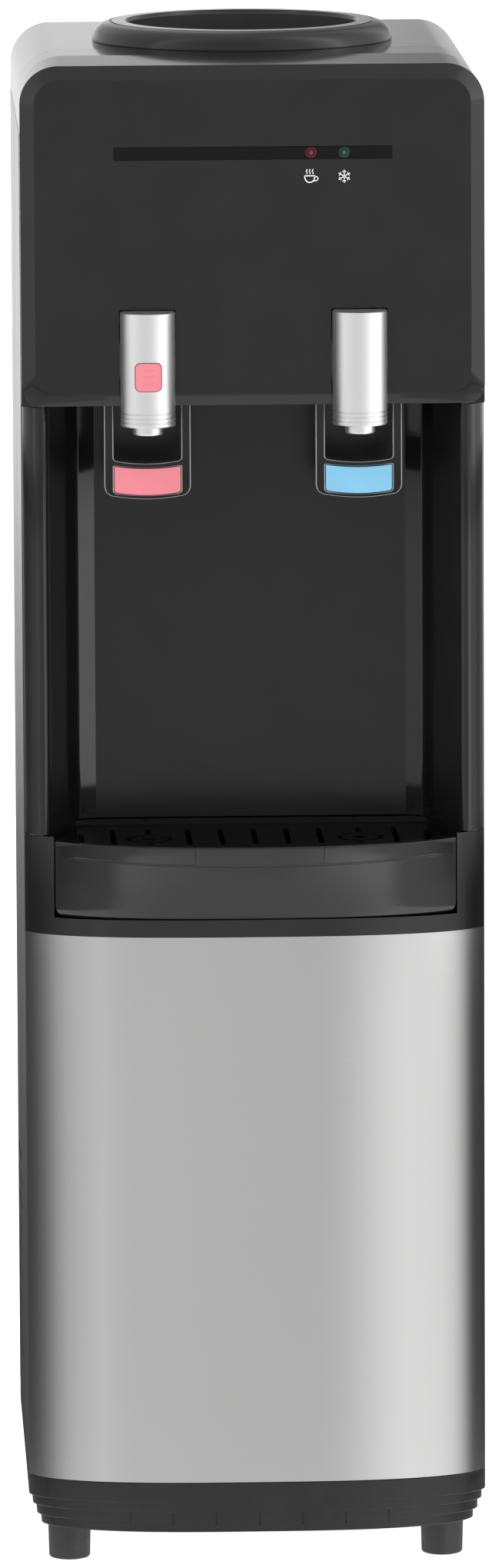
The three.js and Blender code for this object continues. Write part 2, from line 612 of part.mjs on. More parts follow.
// The paddle's outline: straight sides, rounded lower corners and a shallow smile below.
function paddleOutline(x, half, z0, z1, radius, sag) {
  const shape = new THREE.Shape();
  shape.moveTo(x + half, z1);
  shape.lineTo(x - half, z1);
  shape.lineTo(x - half, z0 + sag + radius);
  shape.quadraticCurveTo(x - half, z0 + sag, x - half + radius, z0 + sag * 0.7);
  shape.quadraticCurveTo(x, z0 - sag * 0.4, x + half - radius, z0 + sag * 0.7);
  shape.quadraticCurveTo(x + half, z0 + sag, x + half, z0 + sag + radius);
  return shape;
}

function buildLever(x, name, padMaterial) {
  const arm = 5.7;
  const arms = [-1, 1].map((side) => {
    const ends = [x + side * (LEVER_HALF - arm), x + side * LEVER_HALF].sort((a, b) => a - b);
    return box(ends, [CORNER_Y - 3, PADDLE_BACK_Y], [715, 767.5]);
  });
  const lever = cut(
    join(
      runY(paddleOutline(x, LEVER_HALF, LEVER_BOTTOM_Z, 722, 6, 2.2), PADDLE_FRONT_Y, PADDLE_BACK_Y),
      ...arms,
      bar(2.4, [x - LEVER_HALF + 1, PIVOT_Y, PIVOT_Z], [x + LEVER_HALF - 1, PIVOT_Y, PIVOT_Z], 20),
      box([x - LEVER_HALF, x + LEVER_HALF], [CORNER_Y - 1, PADDLE_BACK_Y], [757.5, 767.5]),
      box([x - 3, x + 3], [TAP_Y - 3.5, CORNER_Y + 2], [764, 767.5]),
    ),
    runY(paddleOutline(x, LEVER_HALF - arm, 683.6, 723, 2, 1.4), PADDLE_FRONT_Y - 1, PADDLE_BACK_Y + 1),
    box([x - 20.5, x + 20.5], [CORNER_Y - 9, PADDLE_BACK_Y + 1], [721, 740]),
    runY(paddleOutline(x, 20.9, 663.7, 681.6, 2, 1.4), PADDLE_FRONT_Y - 1, PADDLE_FRONT_Y + 4),
  );
  place(`${name}_lever`, lever, GLOSS_BLACK);

  const slab = runY(paddleOutline(x, 20.5, 664.1, 681.2, 1.8, 1.4), PADDLE_FRONT_Y - 2.2, PADDLE_FRONT_Y + 3.7);
  const crown = bar(90, [x, PADDLE_FRONT_Y + 88, 650], [x, PADDLE_FRONT_Y + 88, 700], 180);
  place(`${name}_lever_pad`, slab.intersect(crown), padMaterial);
}

function buildChildLock() {
  const x = -TAP_X;
  const face = runY(roundedRect(x - 7.8, x + 7.8, 729.8, 747.8, 3), TAP_Y - 18, TAP_Y - 14);
  const skin = post(CAP_R + 0.9, x, TAP_Y, 725, 752, 64);
  place("child_lock_button", face.intersect(skin), PINK);
}

// ---------------------------------------------------------------- tanks and refrigeration
const EVAPORATOR = { radius: 73.9, y: COLLAR_Y + 73.9, z0: 772, z1: 832, turns: 4 };

function buildColdTank() {
  const tank = cut(
    join(
      turn([
        [0, TANK_BOTTOM_Z], [TANK_R, TANK_BOTTOM_Z], [TANK_R, TANK_TOP_Z], [TANK_R - 1.5, TANK_TOP_Z],
        [TANK_R - 1.5, TANK_BOTTOM_Z + 1.5], [0, TANK_BOTTOM_Z + 1.5],
      ], 0, COLLAR_Y),
      post(6, 0, COLLAR_Y, 720, TANK_BOTTOM_Z + 1),
      bar(5.5, [40, COLLAR_Y - 84, SPIGOT_Z], [40, COLLAR_Y - 50, SPIGOT_Z], 20),
    ),
    post(4.5, 0, COLLAR_Y, 719, TANK_BOTTOM_Z + 3),
    bar(4, [40, COLLAR_Y - 90, SPIGOT_Z], [40, COLLAR_Y - 45, SPIGOT_Z], 20),
  );
  place("cold_tank", tank, STAINLESS);

  const baffle = cut(
    turn([[7, 806], [64, 806], [64, 809], [10, 809], [10, 840], [7, 840], [7, 806]], 0, COLLAR_Y, 24),
    ...[-45, 45].flatMap((d) => [post(5, d, COLLAR_Y, 800, 812, 12), post(5, 0, COLLAR_Y + d, 800, 812, 12)]),
  );
  place("cold_tank_baffle", baffle, WHITE_PLASTIC);

  const { radius, y, z0, z1, turns } = EVAPORATOR;
  const coil = [[55, y, z0], [30, y, z0]];
  for (let i = 0; i <= turns * 12; i += 1) {
    const angle = ((i / 12) * 2 + 0.5) * Math.PI;
    const z = z0 + ((z1 - z0) * i) / (turns * 12);
    coil.push([radius * Math.cos(angle), COLLAR_Y + radius * Math.sin(angle), z]);
  }
  coil.push([-30, y, z1], [-55, y, z1]);
  place("evaporator_coil", pipe(coil, 3, turns * 13, 5), COPPER);

  const jacket = cut(
    turn([
      [0, 727], [88, 727], [88, 851], [78, 851], [78, 741], [0, 741],
    ], 0, COLLAR_Y),
    post(6.5, 0, COLLAR_Y, 700, 745),
    bar(6, [40, COLLAR_Y - 95, SPIGOT_Z], [40, COLLAR_Y - 60, SPIGOT_Z], 20),
    bar(3.8, [0, y, z0], [60, y, z0], 12),
    bar(3.8, [0, y, z1], [-60, y, z1], 12),
  );
  place("insulation_jacket", jacket, FOAM);
  place("insulation_lid", turn(tube(36.4, 88, 852, 866), 0, COLLAR_Y), FOAM);
}

// The shelf under the cold tank, with the bracket below it that carries the hot tank.
function buildShelf() {
  const front = CORNER_Y + 62;
  const under = HOT_TANK.z0 - GAP;
  const back = REAR_PANEL_Y - 1;
  const plate = join(
    box([-137, 137], [front, back], [SHELF_Z, SHELF_Z + 1.5]),
    box([-137, 137], [front, front + 1.5], [SHELF_Z - 10.4, SHELF_Z + 0.6]),
    box([-18, 78], [HOT_TANK.y - 30, back], [under - 1.5, under]),
    box([-18, 44], [back - 1.5, back], [under - 1.5, SHELF_Z + 0.6]),
  );
  const holes = [[8, 0, COLLAR_Y], [9.5, -70, -47.5], [6, -111.5, 110], [5, 110, 112]];
  const shelf = cut(
    plate,
    ...holes.map(([r, x, y]) => post(r, x, y, SHELF_Z - 20, SHELF_Z + 20)),
    post(6.4, HOT_TANK.x, HOT_TANK.y, under - 10, under + 5),
  );
  place("tank_shelf", shelf, GALVANISED);
}

function buildHotTank() {
  const { x, y, r, z0, z1 } = HOT_TANK;
  const wall = 1.5;
  const drain = [[0, z0 - 6], [5, z0 - 6], [5, z0]];
  const outer = [[r - 6, z0], [r, z0 + 8], [r, z1 - 8], [r - 6, z1], [5, z1]];
  const spout = [[5, z1 + 8], [3.6, z1 + 8], [3.6, z1 - wall]];
  const ceiling = [[r - 7, z1 - wall], [r - wall, z1 - 8.4]];
  const floor = [[r - wall, z0 + 8.4], [r - 7, z0 + wall], [0, z0 + wall]];
  const inlet = bar(5, [x + r - 2, y, z0 + 21], [x + r + 10, y, z0 + 21], 16);
  const vessel = turn([...drain, ...outer, ...spout, ...ceiling, ...floor], x, y, 18);
  place("hot_tank", join(vessel, inlet), STAINLESS);

  const band = tube(r + 0.4, r + 3.4, z0 + 35, z0 + 75);
  place("heater_band", turn(band, x, y, 18), MICA);

  const sensorZ = z0 + 91;
  const terminals = [[-8, -5], [5, 8]].map(([a, b]) => box(
    [x + a, x + b], [y - 56, y - 50], [sensorZ - 3, sensorZ + 3],
  ));
  const disc = bar(8, [x, y - 43, sensorZ], [x, y - 51, sensorZ]);
  place("hot_thermostat", join(disc, ...terminals), WHITE_PLASTIC);
}

function buildHoses() {
  const stub = CORNER_Y + 20 + GAP;
  place("hot_feed_hose", pipe([
    [0, COLLAR_Y, 719.6], [0, COLLAR_Y, 713], [3, COLLAR_Y + 14, 706], [20, 68, 702], [62, 74, 690],
    [92, 54, 654], [98, 34, 616], [95, HOT_TANK.y, 600], [89, HOT_TANK.y, 596], [82.4, HOT_TANK.y, 596],
  ], 6, 22, 6), SILICONE);
  place("hot_outlet_hose", pipe([
    [HOT_TANK.x, HOT_TANK.y, 698.4], [HOT_TANK.x, HOT_TANK.y, 703], [28, 16, 710], [10, -6, 711.5],
    [-30, -30, 711.5], [-66, -46, 713], [-70, -47.5, 724], [-69, -56, 736],
    [-TAP_X, CORNER_Y + 38, VALVE_Z], [-TAP_X, stub, VALVE_Z],
  ], 6, 22, 6), SILICONE);
  place("cold_outlet_hose", pipe([
    [40, COLLAR_Y - 84.4, SPIGOT_Z], [40, COLLAR_Y - 90, SPIGOT_Z],
    [50, COLLAR_Y - 98, 749.5], [61, COLLAR_Y - 108, 744.5],
    [TAP_X, COLLAR_Y - 116, VALVE_Z], [TAP_X, stub, VALVE_Z],
  ], 6, 12, 6), SILICONE);
  place("drain_hose", pipe([
    [HOT_TANK.x, HOT_TANK.y, 568.6], [HOT_TANK.x, HOT_TANK.y, 562], [18, HOT_TANK.y + 10, 554], [-30, 76, 550],
    [-64, 104, DRAIN.z + 1], [DRAIN.x, 122, DRAIN.z], [DRAIN.x, 136, DRAIN.z],
  ], 5, 16, 6), SILICONE);
}

function buildDrain() {
  const spout = cut(
    join(
      bar(8, [DRAIN.x, 136.4, DRAIN.z], [DRAIN.x, 158, DRAIN.z]),
      bar(15, [DRAIN.x, REAR_PANEL_Y + 1.6, DRAIN.z], [DRAIN.x, REAR_PANEL_Y + 4.6, DRAIN.z]),
    ),
    bar(5, [DRAIN.x, 135, DRAIN.z], [DRAIN.x, 159, DRAIN.z]),
  );
  place("drain_outlet", spout, WHITE_PLASTIC);
  const cap = cut(
    bar(12, [DRAIN.x, 153.2, DRAIN.z], [DRAIN.x, 167, DRAIN.z], 18),
    bar(8.4, [DRAIN.x, 152, DRAIN.z], [DRAIN.x, 159, DRAIN.z]),
  );
  place("drain_cap", cap, WHITE_PLASTIC);
}

function buildCompressor() {
  const { x, y, z } = COMPRESSOR;
  const can = [
    [0, 5], [34, 5], [54, 14], [60, 28], [60, 74], [63, 74],
    [63, 78], [60, 78], [58, 110], [46, 130], [22, 140], [0, 142],
  ];
  const shell = join(
    turn(can.map(([r, up]) => [r, z + up]), x, y, 20),
    box([x - 50, x + 50], [y - 24, y + 24], [z, z + 8]),
    bar(4, [x - 58, y, z + 92], [x - 70, y, z + 92], 12),
    bar(3, [x + 56, y, z + 92], [x + 69, y, z + 92], 12),
    ...[-1, 1].map((i) => box([x + i * 66 - 18, x + i * 66 + 18], [y - 50, y + 50], [z, z + 3])),
  );
  place("compressor", shell, GLOSS_BLACK);
}

// A round wire through points that all lie in one upright plane facing the rear.
function flatWire(nodes, radius, sides) {
  const corners = [];
  const faces = [];
  nodes.forEach(([x, y, z], i) => {
    const [ax, , az] = nodes[Math.max(0, i - 1)];
    const [bx, , bz] = nodes[Math.min(nodes.length - 1, i + 1)];
    const length = Math.hypot(bx - ax, bz - az);
    for (let k = 0; k < sides; k += 1) {
      const angle = (k / sides) * 2 * Math.PI;
      const across = (radius * Math.cos(angle)) / length;
      corners.push(x - (bz - az) * across, y + radius * Math.sin(angle), z + (bx - ax) * across);
    }
  });
  const last = (nodes.length - 1) * sides;
  for (let k = 0; k < sides; k += 1) {
    const next = (k + 1) % sides;
    for (let i = 0; i < last; i += sides) {
      faces.push(i + k, i + next, i + sides + next, i + k, i + sides + next, i + sides + k);
    }
    if (k > 0 && k < sides - 1) faces.push(0, k + 1, k, last, last + k, last + k + 1);
  }
  const geometry = new THREE.BufferGeometry();
  geometry.setAttribute("position", new THREE.Float32BufferAttribute(corners, 3));
  geometry.setIndex(faces);
  const solid = toSolid(geometry);
  return solid.volume() < 0 ? toSolid(flip(geometry)) : solid;
}

const COIL_ROWS = 8;
const COIL = { low: 190, pitch: 46, reach: 86, y: REAR_PANEL_Y + 11 };

function coilTop() {
  return COIL.low + (COIL_ROWS - 1) * COIL.pitch;
}

function buildCondenser() {
  const { low, pitch, reach, y } = COIL;
  const nodes = [];
  for (let row = 0; row < COIL_ROWS; row += 1) {
    const z = low + row * pitch;
    const side = row % 2 ? 1 : -1;
    nodes.push([-side * reach, y, z], [side * reach, y, z]);
    for (let k = 1; k < 4 && row < COIL_ROWS - 1; k += 1) {
      const angle = (k / 4) * Math.PI;
      nodes.push([side * (reach + (pitch / 2) * Math.sin(angle)), y, z + (pitch / 2) * (1 - Math.cos(angle))]);
    }
  }
  const wires = [-66, 66].map((x) => box([x - 0.9, x + 0.9], [y + 1.2, y + 3], [low - 12, coilTop() + 12]));
  const standoffs = [-66, 66].flatMap((x) => [low + pitch / 2, low + (COIL_ROWS - 1.5) * pitch].map((z) => box(
    [x - 4, x + 4], [REAR_PANEL_Y + SHEET + GAP, y + 2], [z - 4, z + 4],
  )));
  place("condenser", join(flatWire(nodes, 2.4, 6), ...wires, ...standoffs), PAINTED_BLACK);
}

const DRIER = { x: 104, y: 116 };

function buildPipework() {
  const { x, y, z } = COMPRESSOR;
  const top = coilTop();
  place("suction_line", pipe([
    [x - 70.4, y, z + 92], [x - 78, y, z + 92], [-116, y + 16, z + 112], [-116, 100, 260], [-113, 110, 500],
    [-112, 110, 700], [-108, 108, 815], [-80, 100.4, 831], [-55.4, EVAPORATOR.y, EVAPORATOR.z1],
  ], 3, 24, 5), COPPER);
  place("discharge_line", pipe([
    [x + 69.4, y, z + 92], [x + 78, y, z + 92], [88, y + 16, 158], [114, 90, 230], [116, 118, 400],
    [115, 134, 490], [112, REAR_PANEL_Y, top], [106, COIL.y - 2, top],
    [94, COIL.y, top], [COIL.reach + 0.4, COIL.y, top],
  ], 2.4, 26, 5), COPPER);
  const drier = join(
    turn([[0, 244], [3, 244], [9, 252], [9, 322], [3, 330], [0, 330]], DRIER.x, DRIER.y, 16),
    pipe([
      [COIL.reach + 0.4, COIL.y, COIL.low], [94, COIL.y, COIL.low], [107, COIL.y - 3, COIL.low + 1],
      [112, REAR_PANEL_Y, COIL.low + 4], [111, 132, 206], [106, 120, 224], [DRIER.x, DRIER.y, 246],
    ], 2.4, 14, 6),
    pipe([
      [DRIER.x, DRIER.y, 328], [DRIER.x, DRIER.y, 380], [110, 112, 600], [110, 112, 740], [104, 106, 764],
      [80, 100.4, 771], [55.4, EVAPORATOR.y, EVAPORATOR.z0],
    ], 1.6, 18, 5),
  );
  place("filter_drier", drier, COPPER);
}

// A rocker's side view about its pivot, symmetrical, with a shallow V for its face.
const ROCKER = [[-4, -5], [5.6, -11], [8.4, -11], [7, 0], [8.4, 11], [5.6, 11], [-4, 5]];
const ROCKER_REST = THREE.MathUtils.degToRad(-8); // upper half out, lower half in

function buildSwitches() {
  const [x, z] = [70, SWITCH_Z];
  const windows = [-10.5, 10.5].map((d) => box(
    [x + d - 9.1, x + d + 9.1], [REAR_PANEL_Y - 12, REAR_PANEL_Y + 6], [z - 13, z + 13],
  ));
  const bezel = cut(
    join(
      box([x - 24, x + 24], [REAR_PANEL_Y + 1.6, REAR_PANEL_Y + 4], [z - 21, z + 21]),
      box([x - 21.6, x + 21.6], [REAR_PANEL_Y - 14, REAR_PANEL_Y + 2], [z - 18.6, z + 18.6]),
    ),
    ...windows,
  );
  place("switch_bezel", bezel, SATIN_BLACK);

  const width = 16.6;
  const rockers = [["hot_switch", x + 10.5, SWITCH_RED], ["cold_switch", x - 10.5, SWITCH_GREEN]];
  for (const [name, middle, material] of rockers) {
    const side = new THREE.Shape(asPoints(ROCKER));
    const geometry = new THREE.ExtrudeGeometry(side, { depth: width, bevelEnabled: false });
    geometry.rotateZ(ROCKER_REST);
    geometry.rotateX(Math.PI / 2);
    geometry.rotateZ(Math.PI / 2);
    geometry.translate(middle - width / 2, REAR_PANEL_Y - 4, z);
    place(name, toSolid(geometry), material);
  }
}

function buildCordInlet() {
  const inlet = cut(
    join(
      bar(11, [INLET.x, REAR_PANEL_Y - 10, INLET.z], [INLET.x, REAR_PANEL_Y + 2, INLET.z]),
      bar(15, [INLET.x, REAR_PANEL_Y + 1.6, INLET.z], [INLET.x, REAR_PANEL_Y + 6, INLET.z]),
    ),
    bar(4, [INLET.x, REAR_PANEL_Y - 12, INLET.z], [INLET.x, REAR_PANEL_Y + 8, INLET.z], 16),
  );
  place("cord_inlet", inlet, RUBBER);
}

buildBase();
buildFeet();
buildSidePanel(-1);
buildSidePanel(1);
buildLowerFront();
buildRearPanel();
buildDripHousing();
buildTray();
buildGrille();
buildAlcove();
buildFrontCover();
buildIndicator();
buildTopCover();
buildBottleSeat();
buildTap(-1, "hot", PINK);
buildTap(1, "cold", BLUE);
buildChildLock();
buildColdTank();
buildShelf();
buildHotTank();
buildHoses();
buildDrain();
buildCompressor();
buildCondenser();
buildPipework();
buildSwitches();
buildCordInlet();

export default dispenser;
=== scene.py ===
"""Looks for a floor-standing hot and cold water dispenser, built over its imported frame.

The shape functions work in millimetres and write their meshes in metres. The studio is in metres.
"""

import json
import math

import bmesh
import bpy
from mathutils import Matrix, Vector


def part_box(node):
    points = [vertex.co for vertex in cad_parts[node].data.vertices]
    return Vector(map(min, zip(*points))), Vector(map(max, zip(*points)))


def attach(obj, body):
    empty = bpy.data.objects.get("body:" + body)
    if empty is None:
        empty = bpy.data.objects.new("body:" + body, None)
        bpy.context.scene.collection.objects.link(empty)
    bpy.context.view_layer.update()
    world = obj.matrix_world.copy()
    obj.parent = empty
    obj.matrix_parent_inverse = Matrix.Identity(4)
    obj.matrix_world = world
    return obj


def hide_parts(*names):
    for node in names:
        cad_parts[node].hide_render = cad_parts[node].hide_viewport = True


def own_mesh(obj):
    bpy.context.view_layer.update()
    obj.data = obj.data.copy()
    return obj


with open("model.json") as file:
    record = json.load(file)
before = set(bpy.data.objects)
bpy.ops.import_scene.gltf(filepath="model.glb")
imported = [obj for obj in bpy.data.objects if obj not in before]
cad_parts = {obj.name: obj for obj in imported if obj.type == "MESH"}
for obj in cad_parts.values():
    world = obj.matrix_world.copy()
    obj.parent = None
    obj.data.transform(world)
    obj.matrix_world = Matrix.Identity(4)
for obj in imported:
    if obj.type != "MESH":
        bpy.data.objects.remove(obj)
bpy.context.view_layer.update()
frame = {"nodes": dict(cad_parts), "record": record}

MM = 0.001
SCENE = bpy.context.scene
RECORD = frame["record"]
SLOT_OF = {row["node"]: row["material_slot"] for row in RECORD["subparts"]}
BODY_OF = {node: body for body, nodes in RECORD["behaviour"]["bodies"].items() for node in nodes}


def box_mm(node):
    low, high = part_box(node)
    return [v / MM for v in low], [v / MM for v in high]


# ------------------------------ sizes read from the frame
COVER_LO, COVER_HI = box_mm("front_cover")
TOP_LO, TOP_HI = box_mm("top_cover")
COLLAR_LO, COLLAR_HI = box_mm("bottle_collar")
FUNNEL_LO, FUNNEL_HI = box_mm("bottle_funnel")
STEEL_LO, STEEL_HI = box_mm("lower_front_panel")
HOUSE_LO, HOUSE_HI = box_mm("drip_housing")
TRAY_LO, TRAY_HI = box_mm("drip_tray")
GRILLE_LO, GRILLE_HI = box_mm("drip_grille")
LINER_LO = box_mm("alcove_liner")[0]
BASE_LO, BASE_HI = box_mm("base")
STRIP_LO, STRIP_HI = box_mm("indicator_strip")
CAP_LO, CAP_HI = box_mm("cold_tap_cap")

HALF = COVER_HI[0]
BODY = STEEL_HI[0]
FACE_Y = COVER_LO[1]
CORNER_Y = FACE_Y + 20
START_Y = STEEL_HI[1]
SPLIT_Y = COVER_HI[1]
REAR_Y = TOP_HI[1]
HOUSING_Z = COVER_LO[2]
TOP_Z = TOP_HI[2]
SKIRT_Z = TOP_LO[2]
BOW = START_Y - STEEL_LO[1]
COLLAR_Y = (COLLAR_LO[1] + COLLAR_HI[1]) / 2
TAP_X = (CAP_LO[0] + CAP_HI[0]) / 2
CAP_R = (CAP_HI[0] - CAP_LO[0]) / 2
TAP_Y = CAP_LO[1] + CAP_R

# ------------------------------ sizes that several pieces share
BAND = 8.5  # width of the bevelled band round the face
BAND_DEPTH = 6.5
LOW_BAND_DEPTH = 3.2  # the band's depth along the face's lower edge
TOP_CORNER = 23  # radius of the housing's upper corners
SHELL_WALL = 2.6
FACE_RISE = 1.6  # how far the housing's top rises over its packed height: at the face,
CROWN = 3.4  # from CROWN_Y to the split,
REAR_CROWN = 1.6  # and at the rear
CROWN_Y = -84
COLLAR_HOLE = 88.7  # radius
ICON_Z = 857.5  # middle of the printed marks
GAP = 0.3  # between neighbouring pieces
TAP_GAP = 0.9  # between a sleeve and the housing
BOW_ALONG, BOW_DEEP = 3, 1.8  # powers of the lower front's curve


# ------------------------------ mesh helpers
def mesh_of(verts, faces):
    mesh = bpy.data.meshes.new("work")
    mesh.from_pydata([(x * MM, y * MM, z * MM) for x, y, z in verts], [], faces)
    mesh.validate()
    return mesh


def blank(mesh, name="work"):
    obj = bpy.data.objects.new(name, mesh)
    SCENE.collection.objects.link(obj)
    return obj


def drop(obj):
    mesh = obj.data
    bpy.data.objects.remove(obj)
    if mesh.users == 0:
        bpy.data.meshes.remove(mesh)


def baked(obj):
    """The object's mesh with its modifiers applied."""
    deps = bpy.context.evaluated_depsgraph_get()
    return bpy.data.meshes.new_from_object(obj.evaluated_get(deps), depsgraph=deps)


def outward(mesh):
    work = bmesh.new()
    work.from_mesh(mesh)
    bmesh.ops.remove_doubles(work, verts=work.verts, dist=1e-6)
    bmesh.ops.recalc_face_normals(work, faces=work.faces)
    work.to_mesh(mesh)
    work.free()
    return mesh


def prism(outline, axis, low, high):
    """A closed outline run along an axis: (x, y) along z, or (x, z) along y."""
    place = {"z": lambda u, v, w: (u, v, w), "y": lambda u, v, w: (u, w, v)}[axis]
    n = len(outline)
    verts = [place(u, v, low) for u, v in outline] + [place(u, v, high) for u, v in outline]
    faces = [tuple(range(n)), tuple(range(2 * n - 1, n - 1, -1))]
    faces += [(i, n + i, n + (i + 1) % n, (i + 1) % n) for i in range(n)]
    return outward(mesh_of(verts, faces))


def loft(rings):
    """A solid through rings with the same number of points, closed at both ends."""
    n = len(rings[0])
    verts = [p for ring in rings for p in ring]
    faces = []
    for k in range(len(rings) - 1):
        a, b = k * n, (k + 1) * n
        faces += [(a + i, a + (i + 1) % n, b + (i + 1) % n, b + i) for i in range(n)]
    faces.append(tuple(range(n - 1, -1, -1)))
    faces.append(tuple(range((len(rings) - 1) * n, len(rings) * n)))
    return outward(mesh_of(verts, faces))


def turns(sides):
    """The angles of one full turn in equal steps."""
    return [2 * math.pi * i / sides for i in range(sides)]


def lathe(profile, x, y, sides=128):
    """A profile of (radius, z) points turned about a vertical axis; it closes on itself or ends on the axis."""
    nothing = 1e-6
    verts, rows = [], []
    for r, z in profile:
        if r < nothing:
            rows.append([len(verts)] * sides)
            verts.append((x, y, z))
        else:
            rows.append(list(range(len(verts), len(verts) + sides)))
            verts += [(x + r * math.cos(t), y + r * math.sin(t), z) for t in turns(sides)]
    on_axis = profile[0][0] < nothing
    pairs = list(zip(rows, rows[1:])) + ([] if on_axis else [(rows[-1], rows[0])])
    faces = []
    for low, high in pairs:
        for i in range(sides):
            j = (i + 1) % sides
            corners = [low[i], low[j], high[j], high[i]]
            face = [v for k, v in enumerate(corners) if v not in corners[:k]]
            if len(face) > 2:
                faces.append(tuple(face))
    return outward(mesh_of(verts, faces))


def drum(radius, low, high, x, y, sides, bore=0):
    """A cylinder about a vertical axis, or a ring where it has a bore."""
    return lathe([(bore, low), (radius, low), (radius, high), (bore, high)], x, y, sides)


def rod(radius, start, end, sides=64):
    start, end = Vector(start), Vector(end)
    along = (end - start).normalized()
    side = along.orthogonal().normalized()
    other = along.cross(side)
    rings = [[tuple(p + radius * (side * math.cos(t) + other * math.sin(t))) for t in turns(sides)]
             for p in (start, end)]
    return loft(rings)


def block(x, y, z):
    return prism([(x[0], y[0]), (x[1], y[0]), (x[1], y[1]), (x[0], y[1])], "z", *z)


def combine(mesh, others, operation="DIFFERENCE"):
    """Cuts other meshes out of a mesh, joins them to it or keeps what they share."""
    obj = blank(mesh)
    tools = [blank(other) for other in others]
    for tool in tools:
        step = obj.modifiers.new("step", "BOOLEAN")
        step.operation = operation
        step.solver = "EXACT"
        step.object = tool
    result = baked(obj)
    for used in [obj, *tools]:
        drop(used)
    return result


def beveled(mesh, width, segments=3, angle=30, clamp=True):
    """The mesh with its edges rounded; clamp keeps the width within the shortest edges."""
    obj = blank(mesh)
    step = obj.modifiers.new("step", "BEVEL")
    step.width = width * MM
    step.segments = segments
    step.limit_method = "ANGLE"
    step.angle_limit = math.radians(angle)
    step.use_clamp_overlap = clamp
    step.miter_outer = "MITER_ARC"
    result = baked(obj)
    drop(obj)
    return result


def rounded_corner(before, corner, after, radius, steps):
    """A corner turned into a curve that takes less than half of each side."""
    corner = Vector(corner)
    ends = []
    for other in (before, after):
        arm = Vector(other) - corner
        ends.append(corner + arm * min(radius / max(arm.length, 1e-9), 0.48))
    points = []
    for k in range(steps + 1):
        t = k / steps
        points.append(tuple(ends[0] * (1 - t) ** 2 + corner * 2 * t * (1 - t) + ends[1] * t * t))
    return points


def soften(points, radius, steps=4, closed=True):
    """A 2D line with its corners rounded off."""
    result = []
    n = len(points)
    for i, point in enumerate(points):
        if not closed and i in (0, n - 1):
            result.append(tuple(point))
        else:
            result += rounded_corner(points[i - 1], point, points[(i + 1) % n], radius, steps)
    return result


def arc_rect(x0, x1, z0, z1, radii, steps=14):
    """A rectangle with true arcs at its corners: lower left, lower right, upper right, upper left."""
    centres = [(x0, z0, 1, 1, 180), (x1, z0, -1, 1, 270), (x1, z1, -1, -1, 0), (x0, z1, 1, -1, 90)]
    points = []
    for (cx, cz, sx, sz, start), r in zip(centres, radii):
        for k in range(steps + 1):
            t = math.radians(start + 90 * k / steps)
            points.append((cx + sx * r + r * math.cos(t), cz + sz * r + r * math.sin(t)))
    return points


def smooth_line(points, steps=8):
    """A Catmull-Rom line through 2D points."""
    result = []
    for i in range(len(points) - 1):
        p = [Vector(points[max(0, min(len(points) - 1, i + k))]) for k in (-1, 0, 1, 2)]
        for s in range(steps):
            t = s / steps
            result.append(tuple(0.5 * ((2 * p[1]) + (p[2] - p[0]) * t
                                       + (2 * p[0] - 5 * p[1] + 4 * p[2] - p[3]) * t * t
                                       + (3 * p[1] - p[0] - 3 * p[2] + p[3]) * t ** 3)))
    result.append(tuple(points[-1]))
    return result


def ribbon(line, thickness):
    """An open line given a thickness to its left."""
    back = []
    for i, (x, y) in enumerate(line):
        here = Vector((x, y))
        before = (here - Vector(line[i - 1])).normalized() if i else None
        after = (Vector(line[i + 1]) - here).normalized() if i < len(line) - 1 else None
        along = ((before or after) + (after or before)).normalized()
        reach = thickness / max(0.5, along.dot(before or after))
        back.append((x - along.y * reach, y + along.x * reach))
    return line + back[::-1]


def ramp(value, low, high):
    """A smooth step from 0 at low to 1 at high."""
    share = max(0.0, min(1.0, (value - low) / (high - low)))
    return share * share * (3 - 2 * share)


def mirrored(half):
    """A line from its right half, which starts in the middle."""
    return [(-x, y) for x, y in reversed(half)] + list(half)


def front_y(x, inset=0.0):
    """Where the bowed lower front is at x."""
    share = min(1.0, abs(x) / (BODY - inset)) ** BOW_ALONG
    return START_Y - (BOW - inset) * (1 - share) ** (1 / BOW_DEEP)


def front_line(inset=0.0, reach=None, count=140, extra=()):
    """The bowed front from left to right as far as reach, with more points towards its ends."""
    half = BODY - inset
    reach = half if reach is None else reach
    xs = {round(half * math.copysign(abs(math.cos(t)) ** (2 / 3), math.cos(t)), 5)
          for t in (math.pi * k / count for k in range(count + 1))}
    xs = sorted({x for x in xs if abs(x) < reach - 0.01} | {-reach, reach} | set(extra))
    return [(x, front_y(x, inset)) for x in xs]


# ------------------------------ pieces
MATERIALS = {}


def finished(mesh, node, materials=None, name=None, sharp=32, replace=True):
    """Turns a mesh into the visible piece that stands for a CAD node."""
    if mesh.materials:
        mesh.materials.clear()
    for material in materials or [MATERIALS[SLOT_OF[node]]]:
        mesh.materials.append(material)
    mesh.shade_smooth()
    mesh.set_sharp_from_angle(angle=math.radians(sharp))
    piece = blank(mesh, name or f"{node}_skin")
    weigh = piece.modifiers.new("weigh", "WEIGHTED_NORMAL")
    weigh.keep_sharp = True
    weigh.weight = 80
    clean = baked(piece)
    piece.modifiers.clear()
    piece.data = clean
    clean.name = piece.name
    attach(piece, BODY_OF[node])
    if replace:
        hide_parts(node)
    return piece


def refined(node, width):
    """The CAD solid's own shape with its flat faces merged and its edges softened."""
    mesh = frame["nodes"][node].data.copy()
    work = bmesh.new()
    work.from_mesh(mesh)
    bmesh.ops.remove_doubles(work, verts=work.verts, dist=2e-6)
    bmesh.ops.dissolve_limit(work, angle_limit=math.radians(0.6), verts=work.verts, edges=work.edges)
    work.to_mesh(mesh)
    work.free()
    return finished(beveled(mesh, width, 2, 40), node)


# ------------------------------ materials
NOISE_SPAN = (0.3, 0.7)  # where nearly all of a noise texture's values lie


